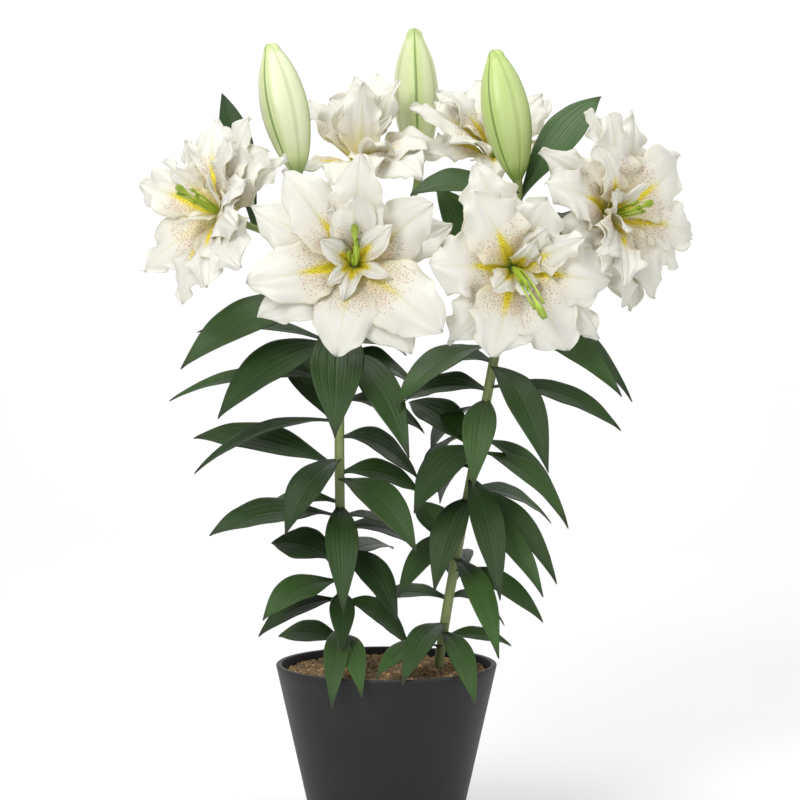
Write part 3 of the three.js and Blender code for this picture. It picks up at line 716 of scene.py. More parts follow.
def build_tepal_tree():
    tree, given = new_tree("Petals", Steps=int, Columns=int, Thickness=float)
    blades = blade_boxes(tree, given["Geometry"], given["Steps"], given["Columns"])
    t, q, face = carried(tree, "along", "across", "face")
    turn, root, length, width, blunt = carried(tree, "turn", "root", "length", "width", "blunt")
    lean_root, lean_tip = carried(tree, "lean_root", "lean_tip")
    wave, waves, phase, frill = carried(tree, "wave", "waves", "phase", "frill")
    sway, twist, curl, chance = carried(tree, "sway", "twist", "curl", "chance")

    bend = (lean_tip - lean_root) / length
    slope = mix(lean_root, lean_tip, t)
    radius = (cosine(lean_root) - cosine(slope)) / bend + ROOT_RADIUS
    height = (sine(slope) - sine(lean_root)) / bend + root
    beyond = larger((t - 0.5) * 2, 0)
    taper = larger(1 - beyond**2.2, 0) ** blunt
    notch = noise(vector(t * 7, chance, q * 0.4), 1.0, 1.0) - 0.5
    nibble = noise(vector(t * 30, chance * 1.9, q), 1.0, 1.0) - 0.5
    edged = 1 + (notch * 0.3 + nibble * 0.07 * smooth(0.3, 0.7, t)) * frill
    half = width * 0.5 * mix(CLAW, 1, smooth(0, 0.5, t)) * taper * edged + LEAST_HALF

    waved = wave * smooth(0.2, 0.55, t) * sine(waves * (2 * math.pi) * t + phase + q * 0.9)
    cup = mix(CUP_ROOT, CUP_TIP, smooth(0, 0.7, t)) * half
    valley = (q * q + 0.04) ** 0.5 * half * VALLEY * smooth(0, 0.7, t)
    edge = larger(absolute(q), 0.001) ** 2.6
    wander = noise(vector(t * 4, chance, q * 0.7), 1.0, 1.0) * 8
    beat = t * length * (2 * math.pi / RUFFLE_LENGTH) + chance * 5 + wander + q * 1.9
    grown = frill * smooth(0.15, 0.5, t) * edge
    crimp = noise(vector(t * 19, chance * 2.3, q * 2.1), 1.0, 1.0) - 0.5
    frilled = (sine(beat) * RUFFLE_HEIGHT + crimp * (2 * CRIMP_HEIGHT)) * grown
    folds = noise(vector(q * 2.2 + chance * 3.7, t * 1.3, chance * 1.3), 1.0, 1.5) - 0.5
    folded = folds * (2 * FOLD_HEIGHT) * smooth(0.2, 0.6, t)
    furrow = hump(q * half, FURROW_WIDTH * 0.5) * FURROW_DEPTH * fading(0.35, 0.85, t) * smooth(0, 0.12, t)
    lift = (cup + waved) * q * q + valley + frilled + folded - furrow
    lift = lift + twist * t * half * q + curl * t * t * t * t

    out = radius - lift * cosine(slope)
    side = half * q + sway * t * t + cosine(beat) * RUFFLE_DEPTH * grown * q
    middle = vector(
        out * cosine(turn) - side * sine(turn),
        out * sine(turn) + side * cosine(turn),
        height + lift * sine(slope),
    )
    front = vector(-(cosine(slope) * cosine(turn)), -(cosine(slope) * sine(turn)), sine(slope))
    blades = carry(blades, "place", vector(t * length, half * q, chance * 0.1))
    blades = placed(blades, middle + front * (face * SKIN))
    thin = given["Thickness"] * 0.5 * mix(ROOT_THICK, 1, smooth(0, 0.25, t)) * (1 - edge * 0.45)
    return ending(moved(blades, normal(tree) * thin), given["Finish"])


tepal_tree = build_tepal_tree()

# %% [markdown]
# ## The petals' finish
# The petals are white and slightly see-through. Towards the throat they turn ivory, with a yellow streak in
# the furrow and green at its foot. The lower half has a faint blush, sprinkled with fine red dots. The finish
# reads the place in metres along and across each petal, so that the dots stay round on every petal.

# %% Petal finish
PETAL_WHITE = screen(241, 241, 238)
PETAL_IVORY = screen(241, 233, 190)
PETAL_BLUSH = screen(238, 212, 192)
PETAL_YELLOW = screen(248, 234, 58)
PETAL_GREEN = screen(184, 204, 66)
PETAL_DOT = screen(160, 70, 76)
PETAL_LINE = screen(226, 228, 190)
PETAL_GLOW = screen(251, 245, 216)
DOT_SPACING = 2.0 * mm
STREAK_HALF = 5.8 * mm
LINE_HALF = 0.9 * mm


def build_petal_finish():
    material, tree = new_finish("petal")
    t, q, face, chance = painted(tree, "along", "across", "face", "chance")
    [place] = painted(tree, "place", output=1)
    onward, sideways, _ = split(place)
    aside = absolute(sideways)
    cloud = noise(place, 60, 3.0)
    own = noise(vector(chance * 1.37, 0.5, 0.5), 1.0, 0.0)
    inner = smooth(-0.2, 0.2, face)

    line = hump(aside, LINE_HALF) * fading(0.6, 1.0, t) * 0.5
    freckled = smooth(0.06, 0.14, t) * fading(0.42, 0.64, t) * fading(0.6, 0.95, absolute(q))
    along_streak = smooth(0.03, 0.12, t) * fading(0.38, 0.62, t) * smooth(0.3, 0.5, own)
    narrowing = STREAK_HALF * mix(1.0, 0.4, smooth(0.12, 0.5, t))
    streak = fading(0.55, 1.25, aside / narrowing)
    halo = fading(0.6, 2.8, aside / narrowing)
    green = fading(0.03, 0.2, t) * (1 - smooth(0.5, 1.6, aside / STREAK_HALF) * 0.6)
    plugs = {"Vector": vector(onward + chance * 0.371, sideways, 0), "Scale": 1 / DOT_SPACING}
    away, colour_drawn, *_ = node(tree, "ShaderNodeTexVoronoi", plugs, voronoi_dimensions="2D").outputs
    drawn, _, _ = split(Field(colour_drawn))
    dots = fading(0.12, 0.31, Field(away)) * smooth(0.0, 0.08, freckled * 0.75 - drawn) * inner

    colour = layered(
        blended(fading(0.1, 0.7, t) * 0.75 + cloud * 0.12, PETAL_WHITE, PETAL_IVORY),
        (smooth(0.9, 1.0, absolute(q)) * 0.25, PETAL_IVORY),
        (line, PETAL_LINE),
        (freckled * smooth(0.35, 0.75, cloud) * 0.6 * inner, PETAL_BLUSH),
        ((streak * 0.85 + halo * 0.55) * mix(0.15, 1.0, inner) * along_streak, PETAL_YELLOW),
        (green * 0.9, PETAL_GREEN),
        (dots * 0.85, PETAL_DOT),
    )
    veins = sine(q * 46 + noise(place, 90) * 5)
    plugs = {"Base Color": colour, "Roughness": 0.46, "Specular IOR Level": 0.35, "Sheen Weight": 0.08}
    plugs["Normal"] = bumped(veins * 0.35 + dots * 2.0 + cloud * 0.8, 0.12 * mm, 0.7)
    return surface(material, plugs, blended(cloud * 0.7, colour, PETAL_GLOW), 0.36)


petal_finish = build_petal_finish()

# %% Make the blooms
for name, bloom in BLOOMS.items():
    numbers = tepal_numbers(name, bloom)
    petals = new_piece("petals_" + name, [(0, 0, 0)] * len(numbers["turn"]), numbers=numbers)
    sizes = {"steps": TEPAL_STEPS, "columns": TEPAL_COLUMNS, "thickness": TEPAL_THICK}
    run_tree(petals, tepal_tree, finish=petal_finish, **sizes)
    petals.data.transform(standing(bloom.base, facing(bloom)))
    join_frame(petals, "tepal", "bloom_" + name)

# %% [markdown]
# ## Leaves
# The leaves are long lances with a sunk midrib and finer ribs beside it, arching out from the stem and
# turned towards the light. They get a tree of their own on the same boxes. Each point carries the three
# points of its leaf's curve, and the formula hangs the blade on that curve.

# %% The leaf tree
ARCH = 0.17
CROWN_AT = 0.55
CROWN_DROP = 0.34
KEEL = 0.18
LIGHT_TURN = 1.2
TURN_SPREAD = 0.6
TURN_STEP = 2.4
LIGHT = Vector((0, -0.85, 0.5))
LEAF_FOOT_HALF = 2.4 * mm
LEAF_THICK = 0.6 * mm
LEAF_FOOT_THICK = 2.5
LEAF_STEPS = 33
LEAF_COLUMNS = 27
MIDRIB_DEPTH, MIDRIB_WIDTH = 0.55, 1.0
# The finer ribs on each side: how far out each lies, its depth and its breadth in mm.
RIBS = [(0.31, 0.34, 0.9), (0.62, 0.3, 0.8)]


def build_leaf_tree():
    tree, given = new_tree("Leaves", Steps=int, Columns=int, Thickness=float)
    blades = blade_boxes(tree, given["Geometry"], given["Steps"], given["Columns"])
    t, q, face = carried(tree, "along", "across", "face")
    width, to_light, chance = carried(tree, "width", "to_light", "chance")
    foot, crown, tip = carried(tree, "foot", "crown", "tip", kind="FLOAT_VECTOR")

    first, second = mix(foot, crown, t), mix(crown, tip, t)
    middle = mix(first, second, t)
    along = unit(second - first)
    level = unit(cross(tip - foot, (0, 0, 1)))
    turned = smooth(0, 0.4, t) * to_light
    raised = cross(level, along) + vector(0, turned * LIGHT.y, turned * LIGHT.z)
    raised = unit(raised - along * dot(raised, along))
    sideways = cross(raised, along)

    lance = sine(t**1.12 * math.pi) ** 1.15
    half = width * 0.5 * lance + (1 - t) * LEAF_FOOT_HALF + LEAST_HALF
    wave = (noise(vector(t * 3.2, chance, q * 0.8), 1.0, 1.0) - 0.5) * half * 0.4 * q * q
    fold = (q * q + 0.02) ** 0.5 * half * KEEL
    groove = hump(q * half, MIDRIB_WIDTH * mm) * MIDRIB_DEPTH * mm * fading(0.7, 1.0, t)
    for at, depth, breadth in RIBS:
        rib = hump((absolute(q) - at) * half, breadth * mm * 0.6) * (depth * mm)
        groove = groove + rib * smooth(0, 0.2, t)
    place = middle + sideways * (half * q) + raised * (fold + wave - groove)
    blades = carry(blades, "place", vector(t * 0.1, half * q, chance * 0.1))
    blades = placed(blades, place + raised * (face * SKIN))
    thin = given["Thickness"] * 0.5 * mix(LEAF_FOOT_THICK, 1, smooth(0, 0.15, t))
    return ending(moved(blades, normal(tree) * thin), given["Finish"])


leaf_tree = build_leaf_tree()

# %% [markdown]
# ## The leaves' finish
# Lily leaves are deep green and waxy on top and greyer beneath, where painted shade darkens them further.
# Thin lines run from foot to tip, paler on the raised ribs, with painted shade in the furrows between them,
# and painted shade darkens each leaf towards its foot. Each leaf gets its own tone, so that the foliage isn't
# one colour.

# %% Leaf finish
LEAF_DEEP = screen(27, 47, 22)
LEAF_FRESH = screen(66, 100, 42)
LEAF_LINE = screen(84, 110, 62)
LEAF_UNDER_SHADED = screen(50, 62, 46)
LEAF_OLD = screen(58, 50, 46)


def build_leaf_finish():
    material, tree = new_finish("leaf")
    t, q, face, tone = painted(tree, "along", "across", "face", "tone")
    [place] = painted(tree, "place", output=1)
    cloud = noise(here(tree), 45, 3.0)
    furrows = cosine(q * 41)
    line = hump(q, 0.03) * 0.45
    for at, *_ in RIBS:
        line = larger(line, hump(absolute(q) - at, 0.02) * 0.35)
    line = larger(line, smooth(0.5, 1.0, furrows) * 0.2)
    colour = layered(
        blended(tone * 0.7 + cloud * 0.3, LEAF_DEEP, LEAF_FRESH),
        # painted shade: darker towards the leaf's foot
        (fading(0.08, 0.5, t) * 0.45, LEAF_DEEP),
        (fading(0.0, 0.08, t) * 0.5, LEAF_LINE),
        # painted shade in the furrows between the lines
        (smooth(0.5, 1.0, -furrows) * 0.35 * fading(0.8, 1.0, t), LEAF_DEEP),
        (line * fading(0.75, 1.0, t), LEAF_LINE),
        # the underside: greyer in its own colour, and darker as painted shade
        (fading(-0.3, 0.3, face) * 0.8, LEAF_UNDER_SHADED),
        (smooth(0.9, 1.0, t) * 0.6, LEAF_OLD),
    )
    veins = sine(q * 60 + noise(place, 30) * 2)
    plugs = {"Base Color": colour, "Roughness": mix(0.36, 0.5, noise(here(tree), 120))}
    plugs["Specular IOR Level"] = 0.38
    plugs["Normal"] = bumped(veins * 0.45 + noise(place, 400, 2.0) * 0.6, 0.15 * mm, 0.6)
    return surface(material, plugs, colour, 0.1)


leaf_finish = build_leaf_finish()

# %% The leaves' curves
LENGTH_STEPS = 200


def back_leaves(side):
    """Rows for the leaves behind a stem, drawn with the plain model's seeds."""
    draw = seeded_draw(BACK_LEAF_SEEDS[side])
    rows = []
    for i in range(BACK_LEAF_COUNT):
        foot = BACK_LEAF_FIRST + BACK_LEAF_STEP * i
        bearing = (90 + BACK_LEAF_FAN * math.sin(i * GOLDEN_ANGLE * degrees)) * degrees
        span = BACK_LEAF_REACH * by_chance(draw, *BACK_LEAF_SHARE)
        fall = by_chance(draw, *BACK_LEAF_FALL)
        tip = stem_point(side, foot) + Vector((span * math.cos(bearing), span * math.sin(bearing), -fall))
        rows.append((foot, *tip, by_chance(draw, *BACK_LEAF_WIDTH)))
    return rows


def by_length(points, share):
    """The point at a share of a curve's length."""
    line = [bezier(points, i / LENGTH_STEPS) for i in range(LENGTH_STEPS + 1)]
    steps = [(b - a).length for a, b in zip(line, line[1:])]
    walked = np.concatenate([[0], np.cumsum(steps)])
    return line[int(np.searchsorted(walked, share * walked[-1]))]


def leaf_lines(side):
    """Each leaf's foot, tip and width: first those on the stem, then those on the flower stalks."""
    for height, *tip, width in LEAVES[side] + back_leaves(side):
        yield stem_point(side, height), Vector(tip), width
    for flower, share, tip, width in BRACTS[side]:
        yield by_length(pedicel(FLOWERS[flower]), share), Vector(tip), width


def leaf_numbers(side):
    """What each leaf's point carries: its curve, its width and its tone."""
    draw = seeded_draw(BACK_LEAF_SEEDS[side] + 1)
    columns = {label: [] for label in ("foot", "crown", "tip", "width", "to_light", "tone", "chance")}
    for index, (foot, tip, width) in enumerate(leaf_lines(side)):
        crown = foot.lerp(tip, CROWN_AT)
        rise = tip.z - foot.z
        crown.z = foot.z + (rise / 2 if rise > 0 else rise * CROWN_DROP) + ARCH * (tip - foot).length
        to_light = LIGHT_TURN * (1 + TURN_SPREAD * math.sin(TURN_STEP * index))
        row = (foot * mm, crown * mm, tip * mm, width * mm, to_light, draw(), index)
        for column, value in zip(columns.values(), row):
            column.append(value)
    return columns


print("A leaf carries", ", ".join(leaf_numbers("left")))

# %% Make the leaves
for side in STEMS:
    numbers = leaf_numbers(side)
    leaves = new_piece("leaves_" + side, numbers["foot"], numbers=numbers)
    sizes = {"steps": LEAF_STEPS, "columns": LEAF_COLUMNS, "thickness": LEAF_THICK}
    run_tree(leaves, leaf_tree, finish=leaf_finish, **sizes)
    join_frame(leaves, "leaf", "leafy_stem_" + side)

# %% [markdown]
# ## Rods: stems, stalks, pistils and buds
# A stem, a flower's stalk and a pistil are all rods along a curve, whose thickness changes on the way. Even
# a closed bud is a fat one with three long lobes. One way to build a tree serves all: a line that carries its
# thickness is swept with a ring, and a relief is then raised from its surface.

# %% The rod trees
def build_rod_tree(name, relief):
    """A tree that sweeps a ring along lines. relief gives the height raised from the surface."""
    tree, given = new_tree(name, Sides=int)
    thick, turn = carried(tree, "thick", "turn")
    line = result(tree, "GeometryNodeMeshToCurve", {0: given["Geometry"]})
    ring = result(tree, "GeometryNodeCurvePrimitiveCircle", {"Resolution": given["Sides"], "Radius": 1.0})
    tube = result(tree, "GeometryNodeCurveToMesh", {0: line, 1: ring, "Scale": thick, "Fill Caps": True})
    x, y, _ = split(position(tree))
    tube = carry(tube, "lobe", cosine((work_out("ARCTAN2", y, x) - turn) * 3))
    return ending(moved(tube, normal(tree) * relief(tree)), given["Finish"])


STEM_ROUGH = 0.5 * mm


def stem_relief(tree):
    return (noise(position(tree), 260, 2.0) - 0.5) * STEM_ROUGH


def bud_relief(tree):
    """Three lobes, each with a narrow rib along its middle and a knob near its tip, and grooves between."""
    along, lobe = carried(tree, "along", "lobe")
    rib = smooth(0.965, 1.0, lobe) * 0.8 - smooth(0.84, 0.95, lobe) * 0.35
    groove = smooth(0.9, 1.0, -lobe) * 0.6
    knobs = smooth(0.93, 0.97, along) * fading(0.985, 1.0, along) * lobe * 1.1
    fade = smooth(0.0, 0.1, along) * fading(0.92, 0.98, along)
    return ((lobe * 0.5 + rib - groove) * fade + knobs) * mm


rod_tree = build_rod_tree("Rods", stem_relief)
bud_tree = build_rod_tree("Buds", bud_relief)


def add_rods(name, paths, tree, sides, finish, turn=0.0, tint=0.0):
    """One piece of rods. A path is a list of points in mm with the rod's radius there."""
    points, edges, thick, along = [], [], [], []
    for path in paths:
        first = len(points)
        edges += [(first + i, first + i + 1) for i in range(len(path) - 1)]
        for i, (point, radius) in enumerate(path):
            points.append(Vector(point) * mm)
            thick.append(radius * mm)
            along.append(i / (len(path) - 1))
    same = {"turn": [turn] * len(points), "tint": [tint] * len(points)}
    piece = new_piece(name, points, edges, {"thick": thick, "along": along, **same})
    return run_tree(piece, tree, sides=sides, finish=finish)

# %% Stem finish
STEM_GREEN = screen(112, 130, 72)
STEM_PALE = screen(142, 154, 96)
STEM_DARK = screen(84, 92, 56)


def stretched(place, factors):
    """The place scaled by a factor along each axis."""
    return work_out("MULTIPLY", place, factors)


def build_stem_finish():
    material, tree = new_finish("stem")
    place = here(tree)
    long_marks = noise(stretched(place, (900, 900, 60)), 1.0, 3.0)
    colour = blended(noise(place, 35, 2.0), STEM_GREEN, STEM_PALE)
    colour = blended(smooth(0.5, 0.75, long_marks) * 0.6, colour, STEM_DARK)
    plugs = {"Base Color": colour, "Roughness": 0.42, "Normal": bumped(long_marks, 0.2 * mm, 0.5)}
    return surface(material, plugs)


stem_finish = build_stem_finish()

# %% Stems and stalks
STEM_STEPS = 90
STEM_SIDES = 16
PEDICEL_STEPS = 28
STALK_FLARE = 1.5
FLARE_SHARE = 0.2


def shares(steps):
    """The shares of the way from 0 to 1 in equal steps."""
    return [i / steps for i in range(steps + 1)]


def flared(radius, more, share):
    """A rod's radius at a share of its way, where its last part, FLARE_SHARE, widens by more."""
    return radius + more * max(0, share - (1 - FLARE_SHARE)) / FLARE_SHARE


def stem_paths(side):
    paths = [[(bezier(STEMS[side], share), STEM_RADIUS) for share in shares(STEM_STEPS)]]
    for flower in FLOWERS.values():
        if flower.side == side:
            path, steps = pedicel(flower), shares(PEDICEL_STEPS)
            paths.append([(bezier(path, at), flared(PEDICEL_RADIUS, STALK_FLARE, at)) for at in steps])
    return paths


for side in STEMS:
    stems = add_rods("stem_" + side, stem_paths(side), rod_tree, STEM_SIDES, stem_finish)
    join_frame(stems, "leaf", "leafy_stem_" + side)

# %% Buds
# Shares of the length, each with the radius there in mm.
BUD_PROFILE = [
    (0, 4.5), (0.1, 11), (0.27, 17.5), (0.46, 20.8), (0.62, 20), (0.79, 15.6),
    (0.93, 8.2), (0.985, 4.4), (1, 1.5),
]
BUD_STEPS = 90
BUD_SIDES = 120
BUD_WHITE = screen(224, 226, 196)
BUD_GREEN = screen(172, 196, 100)
BUD_RIB = screen(90, 122, 36)
BUD_SHADE = screen(122, 140, 80)


def rounded_profile(pairs, share):
    """The radius at a share of the length, on a smooth curve through the pairs."""
    shares, radii = zip(*pairs)
    i = min(max(np.searchsorted(shares, share) - 1, 0), len(pairs) - 2)
    slopes = np.gradient(radii, shares)
    span = shares[i + 1] - shares[i]
    u = (share - shares[i]) / span
    start, end = (2 * u**3 - 3 * u**2 + 1), (3 * u**2 - 2 * u**3)
    lean_start, lean_end = (u**3 - 2 * u**2 + u), (u**3 - u**2)
    return start * radii[i] + end * radii[i + 1] + span * (lean_start * slopes[i] + lean_end * slopes[i + 1])


def build_bud_finish():
    material, tree = new_finish("bud")
    along, lobe, tint = painted(tree, "along", "lobe", "tint")
    cloud = noise(stretched(here(tree), (1, 1, 0.3)), 120, 2.0)
    ends = larger(fading(0.0, 0.3, along), smooth(0.88, 0.98, along))
    colour = layered(
        blended(tint * 0.8 + cloud * 0.15, BUD_WHITE, BUD_GREEN),
        (larger(ends * 0.6, smooth(0.2, 0.95, lobe) * 0.45), BUD_GREEN),
        (smooth(0.9, 1.0, -lobe) * 0.25, BUD_SHADE),
        (smooth(0.97, 0.995, lobe) * 0.75, BUD_RIB),
        (smooth(0.95, 1.0, along) * smooth(-0.2, 0.6, lobe) * 0.7, BUD_RIB),
        (fading(0.0, 0.14, along) * 0.7, BUD_RIB),
    )
    height = noise(stretched(here(tree), (700, 700, 50)), 1.0, 2.0)
    plugs = {"Base Color": colour, "Roughness": 0.4, "Normal": bumped(height, 0.2 * mm, 0.5)}
    plugs |= {"Subsurface Weight": 0.15, "Subsurface Radius": (0.6, 0.8, 0.3), "Subsurface Scale": 0.004}
    return surface(material, plugs)


bud_finish = build_bud_finish()
for name, bud in BUDS.items():
    height = (Vector(bud.tip) - Vector(bud.base)).length
    path = [((0, 0, height * share), rounded_profile(BUD_PROFILE, share)) for share in shares(BUD_STEPS)]
    own = {"turn": bud.rib_turn * degrees, "tint": bud.tint}
    closed_bud = add_rods("closed_bud_" + name, [path], bud_tree, BUD_SIDES, bud_finish, **own)
    closed_bud.data.transform(standing(bud.base, facing(bud)))
    join_frame(closed_bud, "bud", "bud_" + name)

# %% Pistils
PISTIL_LENGTH = 56
PISTIL_FOOT = 14.3
PISTIL_PROFILE = [(0, 2.8), (0.27, 2.6), (0.39, 1.8), (0.82, 1.7), (0.93, 3.4), (1, 2.8)]
PISTIL_STEPS = 44
PISTIL_SIDES = 14
FILAMENTS = 6
FILAMENT_STEPS = 16
FILAMENT_RADIUS = 0.8
FILAMENT_TURN = 40
# The least reach as a share of the pistil and spread in mm, each with the most that chance adds.
FILAMENT_REACH, FILAMENT_SPREAD = (0.5, 0.42), (1.6, 2.6)
FILAMENT_START, FILAMENT_ARCH = 1.5, 1.9
FIRST_PISTIL_SEED = 31
PISTIL_GREEN = screen(150, 188, 70)
PISTIL_TIP = screen(100, 138, 44)


def pistil_paths(name, bloom):
    """The pistil and its stunted filaments round it, in the flower's own frame."""
    draw = seeded_draw(FIRST_PISTIL_SEED + list(BLOOMS).index(name))
    rise, aside, stretch = bloom.pistil

    def on_column(share):
        return Vector((rise * share**2, -aside * share**2, PISTIL_FOOT + PISTIL_LENGTH * stretch * share))

    steps = shares(PISTIL_STEPS)
    paths = [[(on_column(share), rounded_profile(PISTIL_PROFILE, share)) for share in steps]]
    for k in range(FILAMENTS):
        turn = (360 * k / FILAMENTS + FILAMENT_TURN * draw()) * degrees
        reach, spread = by_chance(draw, *FILAMENT_REACH), by_chance(draw, *FILAMENT_SPREAD)
        filament = []
        for share in shares(FILAMENT_STEPS):
            away = FILAMENT_START + spread * math.sin(FILAMENT_ARCH * share)
            sideways = Vector((away * math.cos(turn), away * math.sin(turn), 0))
            point = on_column(reach * share) + sideways
            filament.append((point, flared(FILAMENT_RADIUS, FILAMENT_RADIUS, share)))
        paths.append(filament)
    return paths


def build_pistil_finish():
    material, tree = new_finish("pistil")
    [along] = painted(tree, "along")
    colour = blended(smooth(0.85, 0.95, along), PISTIL_GREEN, PISTIL_TIP)
    colour = blended(noise(here(tree), 300, 2.0) * 0.3, colour, PETAL_YELLOW)
    plugs = {"Base Color": colour, "Roughness": 0.35, "Normal": bumped(noise(here(tree), 900), 0.1 * mm)}
    return surface(material, plugs)


pistil_finish = build_pistil_finish()
for name, bloom in BLOOMS.items():
    style = add_rods("style_" + name, pistil_paths(name, bloom), rod_tree, PISTIL_SIDES, pistil_finish)
    style.data.transform(standing(bloom.base, facing(bloom)))
    join_frame(style, "pistil", "pistil_" + name)

# %% [markdown]
# ## Pot
# A nursery pot of dark grey plastic with a rounded lip, turned on its axis. Its outline is spun with many
# faces, so that it looks round, and its edges are quarter circles.

# %% Pot shape
POT_HEIGHT = 170
RIM_RADIUS = 98
FOOT_RADIUS = 60
POT_WALL = 5
POT_FLOOR = 7
EDGE_ROUND = 1.5
POT_SIDES = 128
EDGE_STEPS = 5
# The wall's rings: how far they stay from the foot and the lip, and how many are outside and inside.
RING_FOOT, RING_LIP, OUTER_RINGS, INNER_RINGS = 12, 8, 12, 8


def outer_radius(z):
    return FOOT_RADIUS + (RIM_RADIUS - FOOT_RADIUS) * z / POT_HEIGHT


def quarter(centre, start):
    """Points on a quarter circle of the edge's radius, from the start angle on."""
    angles = [(start + 90 * i / EDGE_STEPS) * degrees for i in range(EDGE_STEPS + 1)]
    return [(centre[0] + EDGE_ROUND * math.cos(a), centre[1] + EDGE_ROUND * math.sin(a)) for a in angles]


def pot_outline():
    """(radius, height) pairs in mm from the middle of the foot round to the middle of the floor inside."""
    outline = [(0, 0)]
    outline += quarter((outer_radius(EDGE_ROUND) - EDGE_ROUND, EDGE_ROUND), -90)
    lip = POT_HEIGHT - EDGE_ROUND
    outline += [(outer_radius(z), z) for z in np.linspace(RING_FOOT, lip - RING_LIP, OUTER_RINGS)]
    outline += quarter((outer_radius(lip) - EDGE_ROUND, lip), 0)
    outline += quarter((outer_radius(lip) - POT_WALL + EDGE_ROUND, lip), 90)
    outline += [(outer_radius(z) - POT_WALL, z) for z in np.linspace(lip - RING_LIP, POT_FLOOR, INNER_RINGS)]
    return outline + [(0, POT_FLOOR)]


def spun(name, outline, sides):
    """A closed body of revolution from an outline in mm that starts and ends on the axis."""
    (_, low), *rings, (_, high) = outline
    turns = [2 * math.pi * k / sides for k in range(sides)]
    corners = [Vector((r * math.cos(a), r * math.sin(a), z)) * mm for r, z in rings for a in turns]
    start, end = len(corners), len(corners) + 1
    corners += [Vector((0, 0, low)) * mm, Vector((0, 0, high)) * mm]
    faces = []
    for near, far in zip(range(sides), [*range(1, sides), 0]):
        faces.append((start, far, near))
        for a in range(0, start - sides, sides):
            faces.append((a + near, a + far, a + sides + far, a + sides + near))
        faces.append((start - sides + near, start - sides + far, end))
    mesh = bpy.data.meshes.new(name)
    mesh.from_pydata(corners, [], faces)
    mesh.shade_smooth()
    return add_object(name, mesh)


grey_pot = spun("grey_pot", pot_outline(), POT_SIDES)
print("Pot outline has", len(pot_outline()), "points")

# %% Pot finish
POT_GREY = screen(20, 20, 21)
# A paler colour for the plastic's own mottling and for a painted highlight along the top of the lip.
POT_MOTTLE_AND_LIP_HIGHLIGHT = screen(50, 54, 44)
LIP_HIGHLIGHT_HEIGHT = 3


def build_pot_finish():
    material, tree = new_finish("pot_plastic")
    place = here(tree)
    cloud = noise(place, 14, 4.0)
    _, _, height = split(place)
    lip = smooth((POT_HEIGHT - LIP_HIGHLIGHT_HEIGHT) * mm, POT_HEIGHT * mm, height)
    # the top of the lip is a painted highlight; the pale blotches are the plastic's own mottling
    colour = blended(lip * 0.6 + smooth(0.55, 0.75, cloud) * 0.15, POT_GREY, POT_MOTTLE_AND_LIP_HIGHLIGHT)
    plugs = {"Base Color": colour, "Roughness": mix(0.46, 0.6, cloud), "Specular IOR Level": 0.35}
    plugs["Normal"] = bumped(noise(place, 1500, 2.0), 0.05 * mm, 0.5)
    return surface(material, plugs)


grey_pot.data.materials.append(build_pot_finish())
join_frame(grey_pot, "pot", "pot")

# %% [markdown]
# ## Potting mix
# The mix is a dark ground with loose crumbs of peat and bark on it. The ground is a spun body with a bumpy
# top. The crumbs are scattered by Geometry Nodes: points on the top get small lumps of random size and turn.

# %% The ground
SOIL_TOP = 161
SOIL_MOUND = 6
SOIL_GAP = 0.6
SOIL_SIDES = 96
MOUND_STEPS = 30
TOP_BLEND = 0.5


def soil_outline():
    """(radius, height) pairs in mm from the middle of its underside round to the middle of its top."""
    floor = POT_FLOOR + SOIL_GAP
    foot, edge = (outer_radius(z) - POT_WALL - SOIL_GAP for z in (floor, SOIL_TOP))
    mound = np.linspace(0, 90 * degrees, MOUND_STEPS)[:-1]
    top = [(edge * math.cos(a), SOIL_TOP + SOIL_MOUND * math.sin(a)) for a in mound]
    return [(0, floor), (foot, floor), *top, (0, SOIL_TOP + SOIL_MOUND)]


soil = spun("potting_mix", soil_outline(), SOIL_SIDES)
print("Ground outline has", len(soil_outline()), "points")

# %% Crumbs
SOIL_BUMP = 5 * mm
CRUMBS_PER_M2 = 56000
# The least and the largest size, and the most that a crumb turns about an axis, in radians.
CRUMB_SIZES = 0.5 * mm, 2.7 * mm
CRUMB_TURN = 6.3
CRUMB_SEED = 4
SOIL_DARK = screen(98, 82, 60)
SOIL_BROWN = screen(180, 150, 108)
SOIL_BARK = screen(224, 180, 124)


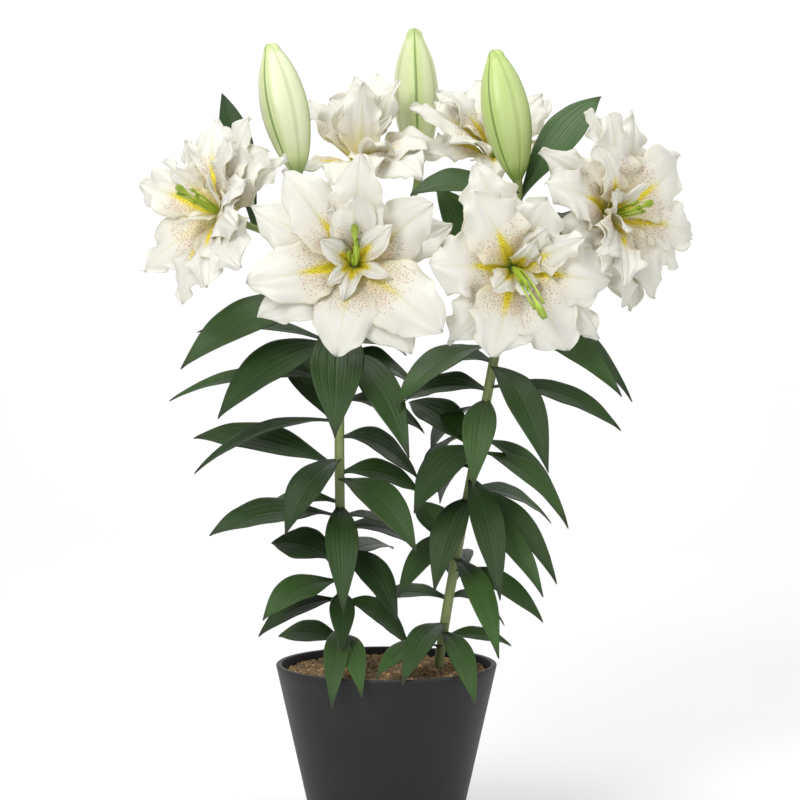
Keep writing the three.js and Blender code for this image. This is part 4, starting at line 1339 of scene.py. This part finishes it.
def build_soil_finish():
    material, tree = new_finish("potting_mix")
    [tone] = painted(tree, "tone")
    cloud = noise(here(tree), 220, 4.0, 0.7)
    colour = blended(smooth(0.3, 0.75, cloud), SOIL_DARK, SOIL_BROWN)
    colour = blended(smooth(0.55, 1.0, tone) * 0.8, colour, SOIL_BARK)
    return surface(material, {"Base Color": colour, "Roughness": 0.95, "Normal": bumped(cloud, 1.0 * mm)})


def drawn_vector(tree, low, high):
    """A vector that each point draws for itself, with its three values between low and high."""
    plugs = {0: (low,) * 3, 1: (high,) * 3}
    return result(tree, "FunctionNodeRandomValue", plugs, data_type="FLOAT_VECTOR")


def build_crumb_tree():
    tree, given = new_tree("Crumbs", Density=float, Seed=int)
    place = position(tree)
    _, _, height = split(place)
    on_top = smooth((SOIL_TOP - TOP_BLEND) * mm, SOIL_TOP * mm, height)
    bumps = (noise(place, 130, 3.0) - 0.5) * SOIL_BUMP * on_top
    ground = moved(given["Geometry"], vector(0, 0, bumps))
    plugs = {"Mesh": ground, "Selection": on_top, "Density": given["Density"], "Seed": given["Seed"]}
    points = result(tree, "GeometryNodeDistributePointsOnFaces", plugs)
    plugs = {2: 0.0, 3: 1.0, "Seed": given["Seed"]}
    points = carry(points, "tone", result(tree, "FunctionNodeRandomValue", plugs, output=1))
    lump = result(tree, "GeometryNodeMeshIcoSphere", {"Radius": 1.0, "Subdivisions": 1})
    plugs = {"Points": points, "Instance": lump}
    plugs["Scale"] = drawn_vector(tree, *CRUMB_SIZES)
    plugs["Rotation"] = drawn_vector(tree, 0.0, CRUMB_TURN)
    crumbs = result(tree, "GeometryNodeInstanceOnPoints", plugs)
    joined = node(tree, "GeometryNodeJoinGeometry")
    for part in (crumbs, ground):
        tree.links.new(part.socket, joined.inputs[0])
    return ending(Field(joined.outputs[0]), given["Finish"])


run_tree(soil, build_crumb_tree(), density=CRUMBS_PER_M2, seed=CRUMB_SEED, finish=build_soil_finish())
join_frame(soil, "soil", "soil")

# %% [markdown]
# ## The size, and the end
# The dressed plant has to fit the plain model's box. Both boxes are printed.

# %% Sizes
dressed_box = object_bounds()
sizes = {"plain": [list(corner) for corner in plain_box], "dressed": [list(corner) for corner in dressed_box]}
for label, box in sizes.items():
    print(label, "box:", [[round(1000 * value) for value in corner] for corner in box])
